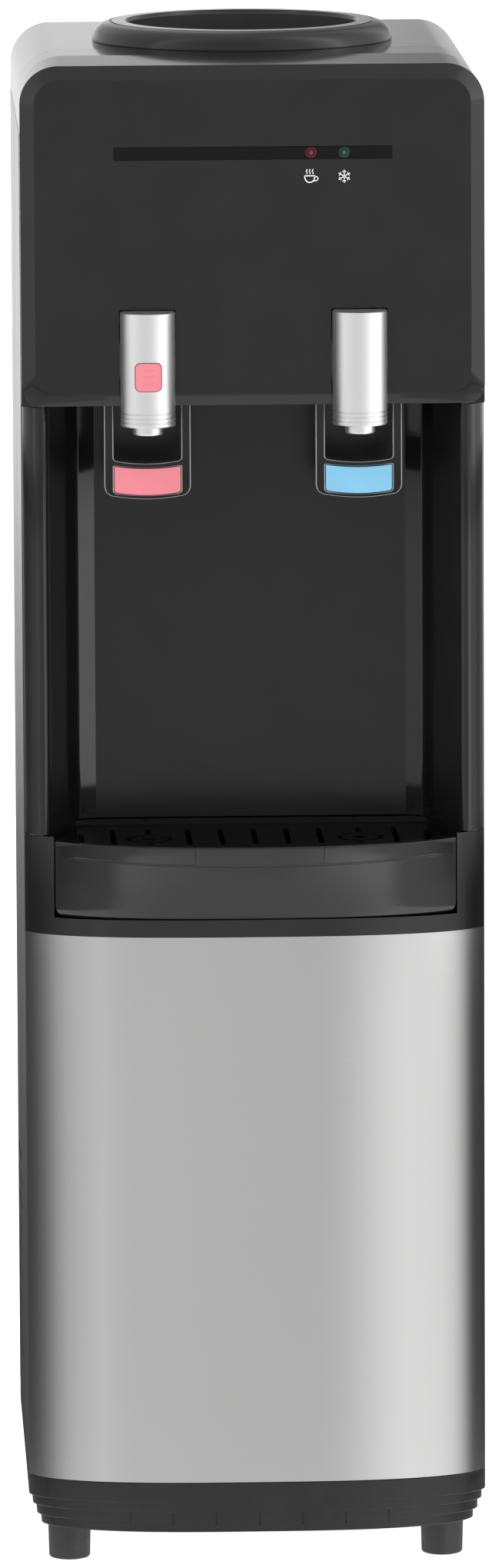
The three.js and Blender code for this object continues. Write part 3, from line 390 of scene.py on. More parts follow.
def node_tree(name):
    material = bpy.data.materials.new(name)
    material.use_nodes = True
    tree = material.node_tree
    return material, tree, tree.nodes["Principled BSDF"]


def noise(tree, scale, stretch=(1, 1, 1), detail=3.0, roughness=0.5):
    coords = tree.nodes.new("ShaderNodeTexCoord")
    mapping = tree.nodes.new("ShaderNodeMapping")
    mapping.inputs["Scale"].default_value = stretch
    texture = tree.nodes.new("ShaderNodeTexNoise")
    texture.inputs["Scale"].default_value = scale
    texture.inputs["Detail"].default_value = detail
    texture.inputs["Roughness"].default_value = roughness
    tree.links.new(coords.outputs["Object"], mapping.inputs["Vector"])
    tree.links.new(mapping.outputs["Vector"], texture.inputs["Vector"])
    return texture.outputs["Fac"]


def spread(tree, source, low, high):
    """A noise value turned into a number from low to high."""
    span = tree.nodes.new("ShaderNodeMapRange")
    for key, value in zip(("From Min", "From Max", "To Min", "To Max"), (*NOISE_SPAN, low, high)):
        span.inputs[key].default_value = value
    tree.links.new(source, span.inputs["Value"])
    return span.outputs["Result"]


def tint(tree, source, color, vary):
    """A noise value turned into a colour from a little darker to a little lighter."""
    blend = tree.nodes.new("ShaderNodeValToRGB")
    for stop, place, factor in zip(blend.color_ramp.elements, NOISE_SPAN, (1 - vary, 1 + vary)):
        stop.position = place
        stop.color = (*(min(1, c * factor) for c in color), 1)
    tree.links.new(source, blend.inputs["Fac"])
    return blend.outputs["Color"]


def bump(tree, shader, source, strength, distance):
    relief = tree.nodes.new("ShaderNodeBump")
    relief.inputs["Strength"].default_value = strength
    relief.inputs["Distance"].default_value = distance
    tree.links.new(source, relief.inputs["Height"])
    tree.links.new(relief.outputs["Normal"], shader.inputs["Normal"])


def moulded(name, color, rough, vary, grain, spots, sockets=None):
    """Moulded or painted material: faint mottling in colour and roughness, and a fine surface texture.

    rough is a range; grain is the texture's scale, strength and depth in metres; spots is the mottling's scale.
    """
    material, tree, shader = node_tree(name)
    cloud = noise(tree, spots, detail=4)
    tree.links.new(tint(tree, cloud, color, vary), shader.inputs["Base Color"])
    tree.links.new(spread(tree, noise(tree, spots * 2.3, detail=5), *rough), shader.inputs["Roughness"])
    scale, strength, distance = grain
    bump(tree, shader, noise(tree, scale, detail=2), strength, distance)
    for key, value in (sockets or {}).items():
        shader.inputs[key].default_value = value
    return material


def brushed(name, color, rough, stretch, grain, vary, anisotropic=0.0):
    """Metal with fine brush lines; stretch is small along the lines and large across them.

    grain is the texture's strength and its depth in metres.
    """
    material, tree, shader = node_tree(name)
    lines = noise(tree, 1.0, stretch, detail=6, roughness=0.62)
    broad = noise(tree, 6.0, detail=2)
    tree.links.new(tint(tree, lines, color, vary), shader.inputs["Base Color"])
    both = tree.nodes.new("ShaderNodeMath")
    both.operation = "ADD"
    tree.links.new(spread(tree, lines, rough[0], rough[1]), both.inputs[0])
    tree.links.new(spread(tree, broad, -0.015, 0.015), both.inputs[1])
    tree.links.new(both.outputs["Value"], shader.inputs["Roughness"])
    shader.inputs["Metallic"].default_value = 1.0
    if anisotropic:
        shader.inputs["Anisotropic"].default_value = anisotropic
        tangent = tree.nodes.new("ShaderNodeTangent")
        tangent.direction_type = "RADIAL"
        tangent.axis = "Z"
        tree.links.new(tangent.outputs["Tangent"], shader.inputs["Tangent"])
    bump(tree, shader, lines, *grain)
    return material


def gray(value):
    return (value, value, value)


SATIN_GRAIN = (1300, 0.03, 0.00001)
COLOR_GRAIN = (1400, 0.06, 0.00002)
LENS_GRAIN = (800, 0.02, 0.00002)
SHINY_GRAIN = (90, 0.03, 0.0001)
LENS = {"IOR": 1.3, "Coat Weight": 0.05, "Coat Roughness": 0.04}
# what moulded() and brushed() take, in their order
MOULDED = {
    "gloss_black_plastic": ((0.0072, 0.0072, 0.0074), (0.07, 0.10), 0.15, (14, 0.03, 0.0004), 30,
                            {"IOR": 1.45}),
    # a light grey, strongly reflecting material for the levers' rounded rims: a painted highlight line round
    # each lever
    "lever_rim_painted_highlight": (gray(0.27), (0.16, 0.22), 0.05, (900, 0.02, 0.00001), 60, {"IOR": 2.2}),
    "wall_black": ((0.0085, 0.0085, 0.0087), (0.20, 0.26), 0.12, (60, 0.03, 0.0002), 30, {"IOR": 1.43}),
    "grille_black": ((0.0035, 0.0035, 0.0037), (0.16, 0.22), 0.15, (900, 0.05, 0.00002), 50, {"IOR": 1.06}),
    "funnel_black": ((0.028, 0.028, 0.029), (0.42, 0.5), 0.1, SATIN_GRAIN, 60),
    "satin_black_plastic": ((0.0100, 0.0100, 0.0103), (0.24, 0.32), 0.1, SATIN_GRAIN, 60, {"IOR": 1.38}),
    "black_paint": ((0.010, 0.010, 0.0105), (0.12, 0.17), 0.08, (420, 0.03, 0.00002), 25, {"IOR": 1.47}),
    "dark_insert": ((0.004, 0.004, 0.0044), (0.12, 0.18), 0.1, (60, 0.02, 0.0001), 40, {"IOR": 1.25}),
    "pink_plastic": ((0.69, 0.192, 0.227), (0.34, 0.42), 0.03, COLOR_GRAIN, 80),
    "blue_plastic": ((0.180, 0.460, 0.66), (0.34, 0.42), 0.03, COLOR_GRAIN, 80),
    "red_lens": ((0.060, 0.002, 0.012), (0.08, 0.12), 0.2, LENS_GRAIN, 900, LENS),
    "green_lens": ((0.004, 0.030, 0.022), (0.08, 0.12), 0.2, LENS_GRAIN, 900, LENS),
    "white_plastic": ((0.74, 0.74, 0.71), (0.38, 0.46), 0.03, (1200, 0.08, 0.00002), 50),
    "silicone": ((0.62, 0.62, 0.58), (0.5, 0.6), 0.05, (500, 0.08, 0.00003), 40),
    "foam": ((0.80, 0.80, 0.76), (0.85, 0.95), 0.05, (240, 0.5, 0.0004), 120),
    "mica": ((0.36, 0.32, 0.25), (0.5, 0.7), 0.2, (160, 0.2, 0.0001), 200),
    "rubber": (gray(0.009), (0.45, 0.55), 0.15, (700, 0.2, 0.00005), 90),
    "red_die": ((0.16, 0.02, 0.05), (0.16, 0.24), 0.05, SHINY_GRAIN, 60),
    "green_die": ((0.02, 0.085, 0.06), (0.16, 0.24), 0.05, SHINY_GRAIN, 60),
    "red_plastic": ((0.46, 0.02, 0.03), (0.16, 0.24), 0.05, SHINY_GRAIN, 60),
    "green_plastic": ((0.02, 0.28, 0.08), (0.16, 0.24), 0.05, SHINY_GRAIN, 60),
    "print_white": (gray(0.82), (0.45, 0.55), 0.02, (900, 0.05, 0.00001), 300),
}
BRUSHED = {
    "brushed_steel": ((0.48, 0.48, 0.478), (0.155, 0.17), (2, 2, 2600), (0.012, 0.00001), 0.009, 0.5),
    "satin_silver": (gray(0.76), (0.36, 0.42), (900, 900, 900), (0.03, 0.00001), 0.02),
    "stainless": (gray(0.62), (0.2, 0.3), (6, 6, 900), (0.04, 0.00002), 0.05),
    "copper": ((0.72, 0.33, 0.18), (0.22, 0.36), (60, 60, 60), (0.05, 0.00002), 0.12),
    "galvanised": ((0.42, 0.44, 0.45), (0.38, 0.55), (70, 70, 70), (0.04, 0.00002), 0.25),
}


def build_materials():
    for name, row in MOULDED.items():
        MATERIALS[name] = moulded(name, *row)
    for name, row in BRUSHED.items():
        MATERIALS[name] = brushed(name, *row)


# ------------------------------ upper housing
def face_outline(inset, top, top_radius, low_radius, low=None):
    """The housing's outline as (x, z), set in by inset; low is its lower edge."""
    low = HOUSING_Z if low is None else low
    least = 0.4
    radii = [max(least, low_radius - inset)] * 2 + [max(least, top_radius - inset)] * 2
    return arc_rect(inset - HALF, HALF - inset, low + inset, top - inset, radii)


def face_ring(inset, y, radii, low_y=None):
    """The face's outline at one depth; its lower side may lie further forward."""
    ring = []
    for x, z in arc_rect(inset - HALF, HALF - inset, HOUSING_Z + inset, TOP_Z + FACE_RISE - inset, radii):
        share = 1 - ramp(z - HOUSING_Z, 6, 26) if low_y is not None else 0.0
        ring.append((x, y + (low_y - y) * share if share else y, z))
    return ring


def crowned(y, rise, low_radius, low=None):
    """The housing's section at one depth, its top raised by the crown."""
    return [(x, y, z) for x, z in face_outline(0, TOP_Z + rise, TOP_CORNER + rise, low_radius, low)]


def collar_hole():
    return drum(COLLAR_HOLE, 890, 940, 0, COLLAR_Y, 192)


def build_front_cover():
    bevel_y = FACE_Y + BAND_DEPTH
    edge = [12, 12, TOP_CORNER, TOP_CORNER]
    plate = beveled(loft([
        face_ring(BAND, FACE_Y, [12.5, 12.5, 14.5, 14.5]),
        face_ring(0, bevel_y, edge, FACE_Y + LOW_BAND_DEPTH),
        face_ring(0, bevel_y + 0.8, edge),
    ]), 0.7, 3, 25)
    depths = ((bevel_y + 0.1, FACE_RISE), (CROWN_Y - 0.9, CROWN), (CROWN_Y + 0.9, CROWN), (SPLIT_Y, CROWN))
    shell = combine(plate, [loft([crowned(y, rise, 1.2) for y, rise in depths])], "UNION")
    inner = SPLIT_Y + 3
    below = 700  # a height under the whole housing, where the cutters start
    slot = arc_rect(STRIP_LO[0] - GAP, STRIP_HI[0] + GAP, STRIP_LO[2] - GAP, STRIP_HI[2] + GAP, [0.6] * 4, 4)
    shell = combine(shell, [
        prism(face_outline(BAND + 3, TOP_Z, TOP_CORNER, 12), "y", FACE_Y + 3, bevel_y + 2),
        prism(face_outline(SHELL_WALL, TOP_Z, TOP_CORNER, 3), "y", bevel_y + 0.6, inner),
        block((-150, 150), (CORNER_Y + 2, inner), (below, SKIRT_Z)),
        block((-125.9, 125.9), (FACE_Y + 3, CORNER_Y + 3), (below, HOUSING_Z + 6)),
        collar_hole(),
        *(drum(CAP_R + TAP_GAP, below, CAP_HI[2] + 0.7, x, TAP_Y, 96) for x in (-TAP_X, TAP_X)),
        prism(slot, "y", FACE_Y - 1, FACE_Y + 1.8),
    ])
    finished(shell, "front_cover", sharp=24)


def build_top_cover():
    ends = ((SPLIT_Y + GAP, CROWN), (REAR_Y, REAR_CROWN))
    outer = beveled(loft([crowned(y, rise, 0.4, SKIRT_Z) for y, rise in ends]), 0.9, 4, 40)
    hollow = face_outline(SHELL_WALL, TOP_Z, TOP_CORNER, 0.4, SKIRT_Z - 6)
    cover = combine(outer, [prism(hollow, "y", SPLIT_Y - 2, REAR_Y - SHELL_WALL), collar_hole()])
    finished(cover, "top_cover", sharp=28)


def printed(mesh, name):
    """A flat white mark on the face."""
    piece = finished(mesh, "front_cover", [MATERIALS["print_white"]], name, replace=False)


def stroke(points, width):
    """A line of (x, z) points drawn on the face, 0.13 mm thick and sunk into it by 0.05 mm."""
    half = width / 2
    left, right = [], []
    for i, (x, z) in enumerate(points):
        a = Vector(points[max(0, i - 1)])
        b = Vector(points[min(len(points) - 1, i + 1)])
        across = (b - a).normalized().orthogonal() * half
        left.append((x + across.x, z + across.y))
        right.append((x - across.x, z - across.y))
    return prism(left + right[::-1], "y", FACE_Y - 0.08, FACE_Y + 0.05)


def lamp_x(name):
    low, high = box_mm(name)
    return (low[0] + high[0]) / 2


def build_icons():
    """A steaming cup under the hot lamp and a snowflake under the cold one."""
    x, z = lamp_x("led_hot"), ICON_Z
    rim_z = z + 0.4
    bowl = [(x + 3.0 * math.cos(t) - 0.8, z - 0.2 + 3.4 * math.sin(t))
            for t in (math.pi + math.pi * k / 14 for k in range(15))]
    handle = [(x + 2.2 + 2.0 * math.cos(t), z - 1.3 + 1.4 * math.sin(t))
              for t in (-1.9 + 3.6 * k / 12 for k in range(13))]
    marks = [stroke([(x - 3.8, rim_z), *bowl, (x + 2.2, rim_z)], 0.6),
             stroke([(x - 4.1, rim_z), (x + 2.5, rim_z)], 0.6),
             stroke(handle, 0.5)]
    for k in (-1, 0, 1):
        steam = [(x - 0.8 + k * 1.8 + 0.35 * math.sin(s * 1.1), z + 1.5 + s * 0.42) for s in range(8)]
        marks.append(stroke(steam, 0.45))
    for i, mark in enumerate(marks):
        printed(mark, f"hot_icon_{i}")
    x = lamp_x("led_cold")
    reach = 3.9
    for k in range(3):
        t = math.pi / 2 + k * math.pi / 3
        dx, dz = math.cos(t), math.sin(t)
        arm = [(x - reach * dx, z - reach * dz), (x + reach * dx, z + reach * dz)]
        printed(stroke(arm, 0.5), f"cold_icon_arm_{k}")
        for end, place in ((-1, "in"), (1, "out")):
            tip = (x + end * 2.1 * dx, z + end * 2.1 * dz)
            barbs = [(tip[0] + end * 1.5 * math.cos(t + s), tip[1] + end * 1.5 * math.sin(t + s))
                     for s in (0.8, -0.8)]
            printed(stroke([barbs[0], tip, barbs[1]], 0.42), f"cold_icon_barb_{k}_{place}")


def build_indicator():
    strip = prism(arc_rect(STRIP_LO[0], STRIP_HI[0], STRIP_LO[2], STRIP_HI[2], [0.5] * 4, 4), "y",
                  STRIP_LO[1], STRIP_HI[1])
    holes = []
    for name, color in (("led_hot", "red"), ("led_cold", "green")):
        low, high = box_mm(name)
        x, z, r = (low[0] + high[0]) / 2, (low[2] + high[2]) / 2, (high[0] - low[0]) / 2
        holes.append(rod(r + 0.35, (x, FACE_Y - 2, z), (x, FACE_Y + 4, z)))
        dome = [(r * 0.5, 0.12), (r * 0.85, 0.4), (r, 0.8), (r, 2.0)]
        finished(loft([[(x + q * math.cos(t), low[1] + depth, z + q * math.sin(t)) for t in turns(64)]
                       for q, depth in dome]), name)
        die = rod(r * 0.36, (x, low[1] - 0.02, z), (x, low[1] + 0.4, z), 32)
        piece = finished(beveled(die, 0.15), name, [MATERIALS[f"{color}_die"]], f"{name}_die", replace=False)
    finished(beveled(combine(strip, holes), 0.12, 2), "indicator_strip")


# ------------------------------ alcove
# right half of the liner's section as (x, y), y counted from CORNER_Y: the recess, then the curved column
WALL = [(95, 54), (106, 49.5), (123.4, -6)]
COLUMN = [(124.6, -10.6), (127.6, -13.2), (131.4, -12.5), (135.6, -8.8), (138.5, -3.8), (139.8, 1.6)]
CEILING = [(95, 55), (107, 50.3), (122.2, -2), (122.2, -13.2)]
LINER_WALL = 2.2


def from_corner(half):
    return mirrored([(x, CORNER_Y + y) for x, y in half])


def build_alcove():
    wall_line = [WALL[0]] + rounded_corner(WALL[0], WALL[1], WALL[2], 2.0, 5)
    column = smooth_line([WALL[2], *COLUMN], 8)
    line = from_corner([*wall_line, *column])
    low, top = HOUSING_Z - GAP, HOUSING_Z + 3
    shell = prism(ribbon(line, LINER_WALL), "z", LINER_LO[2], low)
    upper = prism(ribbon(from_corner([*wall_line, WALL[2]]), LINER_WALL), "z", low - 8, top)
    ceiling = prism(from_corner(CEILING), "z", HOUSING_Z + 0.5, top)
    shell = combine(beveled(shell, 0.4, 2, 50), [upper, ceiling], "UNION")
    half = 27.2
    shell = combine(shell, [
        block((x - half, x + half), (CORNER_Y - 20, CORNER_Y + 14), (HOUSING_Z - 1, HOUSING_Z + 6))
        for x in (-TAP_X, TAP_X)
    ])
    for polygon in shell.polygons:
        polygon.material_index = int(polygon.normal.y < -0.99 and abs(polygon.center.x) < WALL[0][0] * MM)
    finished(shell, "alcove_liner", [MATERIALS["gloss_black_plastic"], MATERIALS["wall_black"]], sharp=15)


# ------------------------------ drip housing, tray, grille
# right half of the tray's bay as (x, y), y counted from CORNER_Y
BAY = [(99, 50), (107.5, 45.5), (122.5, -4), (122.5, -60)]


def build_housing():
    rear = [(140, CORNER_Y + 2), (125.4, CORNER_Y + 5), (110.3, CORNER_Y + 47.6), (101, CORNER_Y + 52.9)]
    outline = front_line() + rear + [(-x, y) for x, y in reversed(rear)]
    belly = front_line(2.6, 132)
    belly += [(123, CORNER_Y), (100, CORNER_Y + 48), (-100, CORNER_Y + 48), (-123, CORNER_Y)]
    body = beveled(prism(outline, "z", HOUSE_LO[2], HOUSE_HI[2]), 0.9, 3, 50)
    floor = TRAY_LO[2] - GAP
    body = combine(body, [prism(from_corner(BAY), "z", floor, HOUSE_HI[2] + 8),
                          prism(belly, "z", HOUSE_LO[2] - 4, floor - 2.4)])
    finished(beveled(body, 0.5, 2, 55), "drip_housing", sharp=30)


TRAY_HALF = TRAY_HI[0]
TRAY_HEIGHT = TRAY_HI[2] - TRAY_LO[2]
LEAN = 17.5  # how far the front's rim stands out over its foot
GRIP = (-37.4, 40.2)  # the flattened stretch of the rim
GRIP_DEPTH = 0.55


def tray_ring(z, inset, part="wall"):
    """One level of the tray, leaning forward with height; part says which part of it: wall, plain, line or rim.

    The parts above the wall sag towards the middle; line is the groove under the rim.
    """
    up = z - TRAY_LO[2]
    height = up / TRAY_HEIGHT
    foot = 7  # radius between the wall and the floor
    shrink = 0.0 if up >= foot or inset > 1 else foot - math.sqrt(foot ** 2 - (foot - up) ** 2)
    reach = TRAY_HALF - inset - shrink
    edges = [GRIP[0] - 0.4, GRIP[0], GRIP[1], GRIP[1] + 0.4]
    ring = []
    for x, _ in front_line(0, TRAY_HALF, 110, edges):
        px = x * reach / TRAY_HALF
        spread_x = max(0.0, 1 - (x / TRAY_HALF) ** 2)
        y = front_y(x, inset) - LEAN * max(0, min(1, height)) * spread_x + shrink * 0.1
        lower = 0.0 if part == "wall" else 3.0 * spread_x
        if part == "rim" and GRIP[0] <= x <= GRIP[1]:
            y += GRIP_DEPTH
        if part == "line":
            y += 0.36 * max(0.0, min(1.0, (113 - abs(x)) / 3))
        ring.append((px, y, z - lower))
    back = [(reach, CORNER_Y - 5)]
    back += [(x - inset - shrink, CORNER_Y + y - inset - shrink) for x, y in ((106, 38.6), (97, 48.5))]
    ring += [(x, y, z) for x, y in back]
    ring += [(-x, y, z) for x, y in reversed(back)]
    return ring


def build_tray():
    z0, z1 = TRAY_LO[2], TRAY_HI[2]
    rings = [tray_ring(z0 + up, 0) for up in (0, 0.6, 1.5, 3, 5, 7, 15, 24)]
    for part, heights in (("plain", [444.3]), ("line", [444.7, 445.3]), ("rim", [445.8, 448, 451])):
        rings += [tray_ring(z, 0, part) for z in heights]
    for lift, cut in ((-0.9, 0.0), (-0.35, 0.15), (-0.08, 0.45), (0.0, 0.8)):
        rings.append([(x, y + (GRIP_DEPTH if GRIP[0] <= x <= GRIP[1] and y < CORNER_Y - 14 else 0), z + lift)
                      for x, y, z in tray_ring(z1, cut)])
    inner = [tray_ring(z, 2.4) for z in (z1 + 0.5, z1 - 1, 446, 436, 424, 414)]
    inner += [tray_ring(z0 + 3.4, 3.2), tray_ring(z0 + 2.6, 5.0)]
    body = combine(loft(rings), [
        loft(inner),
        block((-130, 130), (CORNER_Y - 14.5, CORNER_Y + 60), (GRILLE_LO[2] - GAP, 470)),
    ])
    finished(body, "drip_tray", sharp=26)


def slot_outline(x, y0, y1):
    """A slot of the grille with round ends."""
    half, steps = 1.6, 8
    points = []
    for cy, start in ((y1 - half, 0), (y0 + half, 180)):
        for k in range(steps + 1):
            t = math.radians(start + 180 * k / steps)
            points.append((x + half * math.cos(t), cy + half * math.sin(t)))
    return points


def build_grille():
    height = (GRILLE_HI[2] - TRAY_LO[2]) / TRAY_HEIGHT
    reach = GRILLE_HI[0]
    inset = 4.6
    front = [(x, front_y(x, inset) - LEAN * height * 0.985 * max(0, 1 - (x / TRAY_HALF) ** 2))
             for x, _ in front_line(inset, reach, 110)]
    back = [(reach, CORNER_Y - 5.4), (105.4, CORNER_Y + 38), (96.4, CORNER_Y + 47.6)]
    outline = front + back + [(-x, y) for x, y in reversed(back)]
    low, high = GRILLE_LO[2], GRILLE_HI[2]
    plate = prism(outline, "z", low, high)
    cutters = []
    for x in (0, 20, -20, 40, -40, 86, -86, 105.4, -105.4):
        ends = (CORNER_Y - 15, CORNER_Y + 14) if abs(x) > 100 else (CORNER_Y - 27, CORNER_Y + 32)
        cutters.append(prism(slot_outline(x, *ends), "z", low - 1, high + 1))
    ring_y = CORNER_Y - 4
    for x in (-TAP_X, TAP_X):
        cutters.append(prism(slot_outline(x, ring_y + 17, CORNER_Y + 32), "z", low - 1, high + 1))
        cutters.append(prism(slot_outline(x, CORNER_Y - 28, ring_y - 17), "z", low - 1, high + 1))
        cutters.append(drum(5, low - 1, high + 1, x, ring_y, 64))
        cutters.append(drum(14.2, high - 1.1, high + 2, x, ring_y, 96, bore=11.6))
    plate = beveled(combine(plate, cutters), 0.45, 3, 40)
    finished(plate, "drip_grille", [MATERIALS["grille_black"]], sharp=34)


# ------------------------------ bottle seat
def build_seat():
    dull = MATERIALS["funnel_black"]
    top = COLLAR_HI[2]
    groove_z = top - 1.2
    bulge = smooth_line([(82.2, top - 0.4), (86.5, top - 1.7), (90, top - 4.8), (91.8, top - 8.4),
                         (COLLAR_HI[0], top - 11.2), (91.6, top - 12.4), (89.8, top - 12.8)], 6)
    inside = soften([(86, top - 12.8), (86, 906), (79.6, 906), (79.6, 908.5), (83.4, 908.5), (83.4, top - 16.5),
                     (76.0, top - 16.0), (71.4, top - 13.0), (70.4, top - 2.2), (71.6, top), (80.0, top - 0.1)],
                    0.5, 4, False)
    collar = lathe(bulge + inside, 0, COLLAR_Y, 224)
    collar = combine(collar, [drum(81.4, groove_z, top + 1, 0, COLLAR_Y, 224, bore=80.4)])
    for polygon in collar.polygons:
        reach = math.hypot(polygon.center.x, polygon.center.y - COLLAR_Y * MM)
        polygon.material_index = int(reach < 78 * MM and polygon.center.z < groove_z * MM)
    finished(collar, "bottle_collar", [MATERIALS["gloss_black_plastic"], dull], sharp=30)
    low, high = FUNNEL_LO[2], FUNNEL_HI[2]
    bowl = soften([(82.8, high - 3), (82.8, high), (76, high), (33, 885), (33, low), (35.4, low), (35.4, 884),
                   (77, high - 3)], 0.8, 4)
    finished(lathe(bowl, 0, COLLAR_Y, 192), "bottle_funnel", [dull], sharp=40)
    probe = lathe([(0, 853), (32.6, 853), (32.6, 856), (9, 858), (8.8, 871), (8.6, 884), (7.6, 890), (5, 899),
                   (2.6, 902.4), (0, 903)], 0, COLLAR_Y, 128)
    cutters = []
    for k in range(4):
        t = (k + 0.5) * math.pi / 2
        x, y = 20.5 * math.cos(t), COLLAR_Y + 20.5 * math.sin(t)
        cutters.append(rod(7, (x, y, 845), (x, y, 870)))
    cutters.append(block((-2, 2), (COLLAR_Y - 12, COLLAR_Y + 12), (866, 880)))
    finished(combine(probe, cutters), "bottle_probe", sharp=34)


# ------------------------------ taps and levers
def build_tap(side, name):
    x = side * TAP_X
    low, high = CAP_LO[2], CAP_HI[2]
    grooves = []
    for z in (low + 2.2, low + 4.9, low + 7.6):
        grooves += [(CAP_R, z), (CAP_R - 0.5, z + 0.35), (CAP_R - 0.5, z + 0.95), (CAP_R, z + 1.3)]
    outer = [(0, low)] + soften([(CAP_R - 0.4, low), (CAP_R, low + 0.5)], 0.2, 2, False) + grooves
    outer += [(CAP_R, high - 1.0), (CAP_R - 0.12, high - 0.5), (CAP_R - 0.45, high - 0.14), (CAP_R - 1.0, high),
              (0, high)]
    cap = lathe(outer, x, TAP_Y, 160)
    wall = 1.8
    cutters = [drum(CAP_R - wall, low - 6, high - wall, x, TAP_Y, 128),
               block((x - 20, x + 20), (FACE_Y + 2.8, FACE_Y + 20), (733, high - 3))]
    if side < 0:
        cutters.append(prism(arc_rect(x - 8.2, x + 8.2, 730.2, 747.8, [3.4] * 4, 8), "y", TAP_Y - 25, TAP_Y))
    finished(combine(cap, cutters), f"{name}_tap_cap", sharp=26)
    tip = box_mm(f"{name}_tap_nozzle")[0][2]
    nozzle = lathe(soften([(6.8, tip), (8.4, tip), (9, tip + 0.7), (9, low + GAP), (13.4, low + 0.6),
                           (13.4, tip + 9), (6.8, tip + 9)], 0.3, 3), x, TAP_Y, 96)
    finished(nozzle, f"{name}_tap_nozzle", sharp=40)
    build_lever(x, name)


def paddle(x, half, z0, z1, radius, sag, dip=0.0):
    """The paddle's outline: rounded lower corners joined by a shallow smile; dip lets its top sag too."""
    if dip:
        points = [(x + half * u, z1 - dip * (1 - u * u)) for u in (1 - k / 10 for k in range(21))]
    else:
        points = [(x + half, z1), (x - half, z1)]
    corner = []
    for k in range(15):
        t = math.pi * (1 + 0.5 * k / 14)
        corner.append((-half + radius + radius * math.cos(t), z0 + sag + radius + radius * math.sin(t)))
    flat = half - radius
    smile = [(u, z0 + sag * abs(u / flat) ** 2) for u in (-flat + 2 * flat * k / 24 for k in range(1, 24))]
    right = [(-u, z) for u, z in reversed(corner)]
    return points + [(x + u, z) for u, z in corner + smile + right]


def build_lever(x, name):
    low, high = box_mm(f"{name}_lever")
    front, back = CORNER_Y - 7, CORNER_Y + 5
    half = (high[0] - low[0]) / 2
    window = half - 5.7
    top, window_top = 767.5, 757.5
    body = prism(paddle(x, half, low[2], top, 6.5, 1.8), "y", front, back)
    body = combine(body, [
        prism(paddle(x, window, 682.7, window_top, 2.4, 1.6), "y", front - 1, back + 1),
        block((x - window, x + window), (front - 1, back + 1), (721, window_top)),
        block((x - 40, x + 40), (front - 2, CORNER_Y - 3), (722, 770)),
        prism(paddle(x, 20.4, 663.4, 681.4, 2.2, 1.2, 1.3), "y", front - 1, front + 4),
        block((x - 40, x + 40), (front - 2, CORNER_Y - 1), (757.4, 770)),
    ])
    body = beveled(body, 0.6, 4, 45, False)
    rod_y, rod_z = CORNER_Y + 2, 752
    body = combine(body, [rod(2.4, (x - half + 1, rod_y, rod_z), (x + half - 1, rod_y, rod_z), 48),
                          block((x - 3, x + 3), (TAP_Y - 3.5, CORNER_Y + 2), (764, top))], "UNION")
    # the small rounded faces along the lever's outline get the light grey material: painted highlight lines on
    # the rims
    for polygon in body.polygons:
        nx, ny, nz = polygon.normal
        across = abs(nx) if abs(nz) < 0.3 else math.hypot(nx, nz)
        rounded = 0.16 < across < 0.985 and -0.99 < ny < -0.16
        polygon.material_index = int(rounded and polygon.area < 4e-5)
    finished(body, f"{name}_lever", [MATERIALS["gloss_black_plastic"], MATERIALS["lever_rim_painted_highlight"]], sharp=36)
    slab = prism(paddle(x, 20.0, 663.9, 681.0, 2.0, 1.2, 1.3), "y", front - 2.2, front + 3.7)
    crown = drum(90, 650, 700, x, front + 88, 360)
    finished(beveled(combine(slab, [crown], "INTERSECT"), 0.55, 4, 40), f"{name}_lever_pad", sharp=40)


def build_child_lock():
    """The button stands out of the sleeve by 0.9 mm and has three shallow grooves."""
    x, z0, z1 = -TAP_X, 725, 752
    face = prism(arc_rect(x - 7.8, x + 7.8, 730.6, 747.4, [3.1] * 4, 8), "y", TAP_Y - 18, TAP_Y - 14)
    button = beveled(combine(face, [drum(CAP_R + 0.9, z0, z1, x, TAP_Y, 256)], "INTERSECT"), 0.7, 4, 40)
    grooves = []
    for z, half in ((743.2, 2.9), (739.4, 3.3), (735.0, 2.9)):
        outline = arc_rect(x - half, x + half, z - 0.45, z + 0.45, [0.4] * 4, 4)
        bar = prism(outline, "y", TAP_Y - 18.5, TAP_Y - 16.6)
        grooves.append(combine(bar, [drum(CAP_R + 0.74, z0, z1, x, TAP_Y, 256)]))
    finished(combine(button, grooves), "child_lock_button", sharp=40)


# ------------------------------ lower body
def build_steel():
    line = front_line(0, None, 220)
    finished(prism(ribbon(line, 1.2), "z", STEEL_LO[2], STEEL_HI[2]), "lower_front_panel", sharp=40)


def build_base():
    """Four slabs, each narrower than the one over it, with nine notches at the front."""
    steps = [(BODY, 45.9, BASE_HI[2]), (137.9, 40.1, 47), (135.4, 33.8, 41), (132.6, BASE_LO[2], 35)]
    slabs = []
    for half, z0, z1 in steps:
        ratio = half / BODY
        line = [(x * ratio, y) for x, y in front_line(0, None, 110)]
        outline = line + [(half, REAR_Y - 6), (half - 6, REAR_Y), (6 - half, REAR_Y), (-half, REAR_Y - 6)]
        slabs.append(beveled(prism(outline, "z", z0, z1), 0.6, 3, 50))
    well = [(x * 0.935, y) for x, y in front_line(4, None, 60)] + [(126, REAR_Y - 9), (-126, REAR_Y - 9)]
    cutters = [prism(well, "z", BASE_LO[2] + 4, 70)]
    for k in range(-4, 5):
        x = k * 26.4
        y = front_y(x)
        cutters.append(block((x - 0.55, x + 0.55), (y - 2, y + 0.9), (32.5, 39.7)))
    cutters += [block((k * 30 - 3, k * 30 + 3), (12, 68), (20, 40)) for k in range(-2, 3)]
    finished(combine(combine(slabs[0], slabs[1:], "UNION"), cutters), "base", sharp=30)


def build_feet():
    for name in ("foot_front_left", "foot_front_right", "foot_rear_left", "foot_rear_right"):
        low, high = box_mm(name)
        x, y = (low[0] + high[0]) / 2, (low[1] + high[1]) / 2
        top = BASE_LO[2] - GAP
        profile = [(0, 0.0), (10.9, 0), (12.0, 0.35), (12.6, 1.2), (13.2, top - 2.2), (13.8, top - 1.9),
                   (13.8, top), (4, top), (4, top + 9), (0, top + 9)]
        finished(lathe(profile, x, y, 96), name, sharp=34)


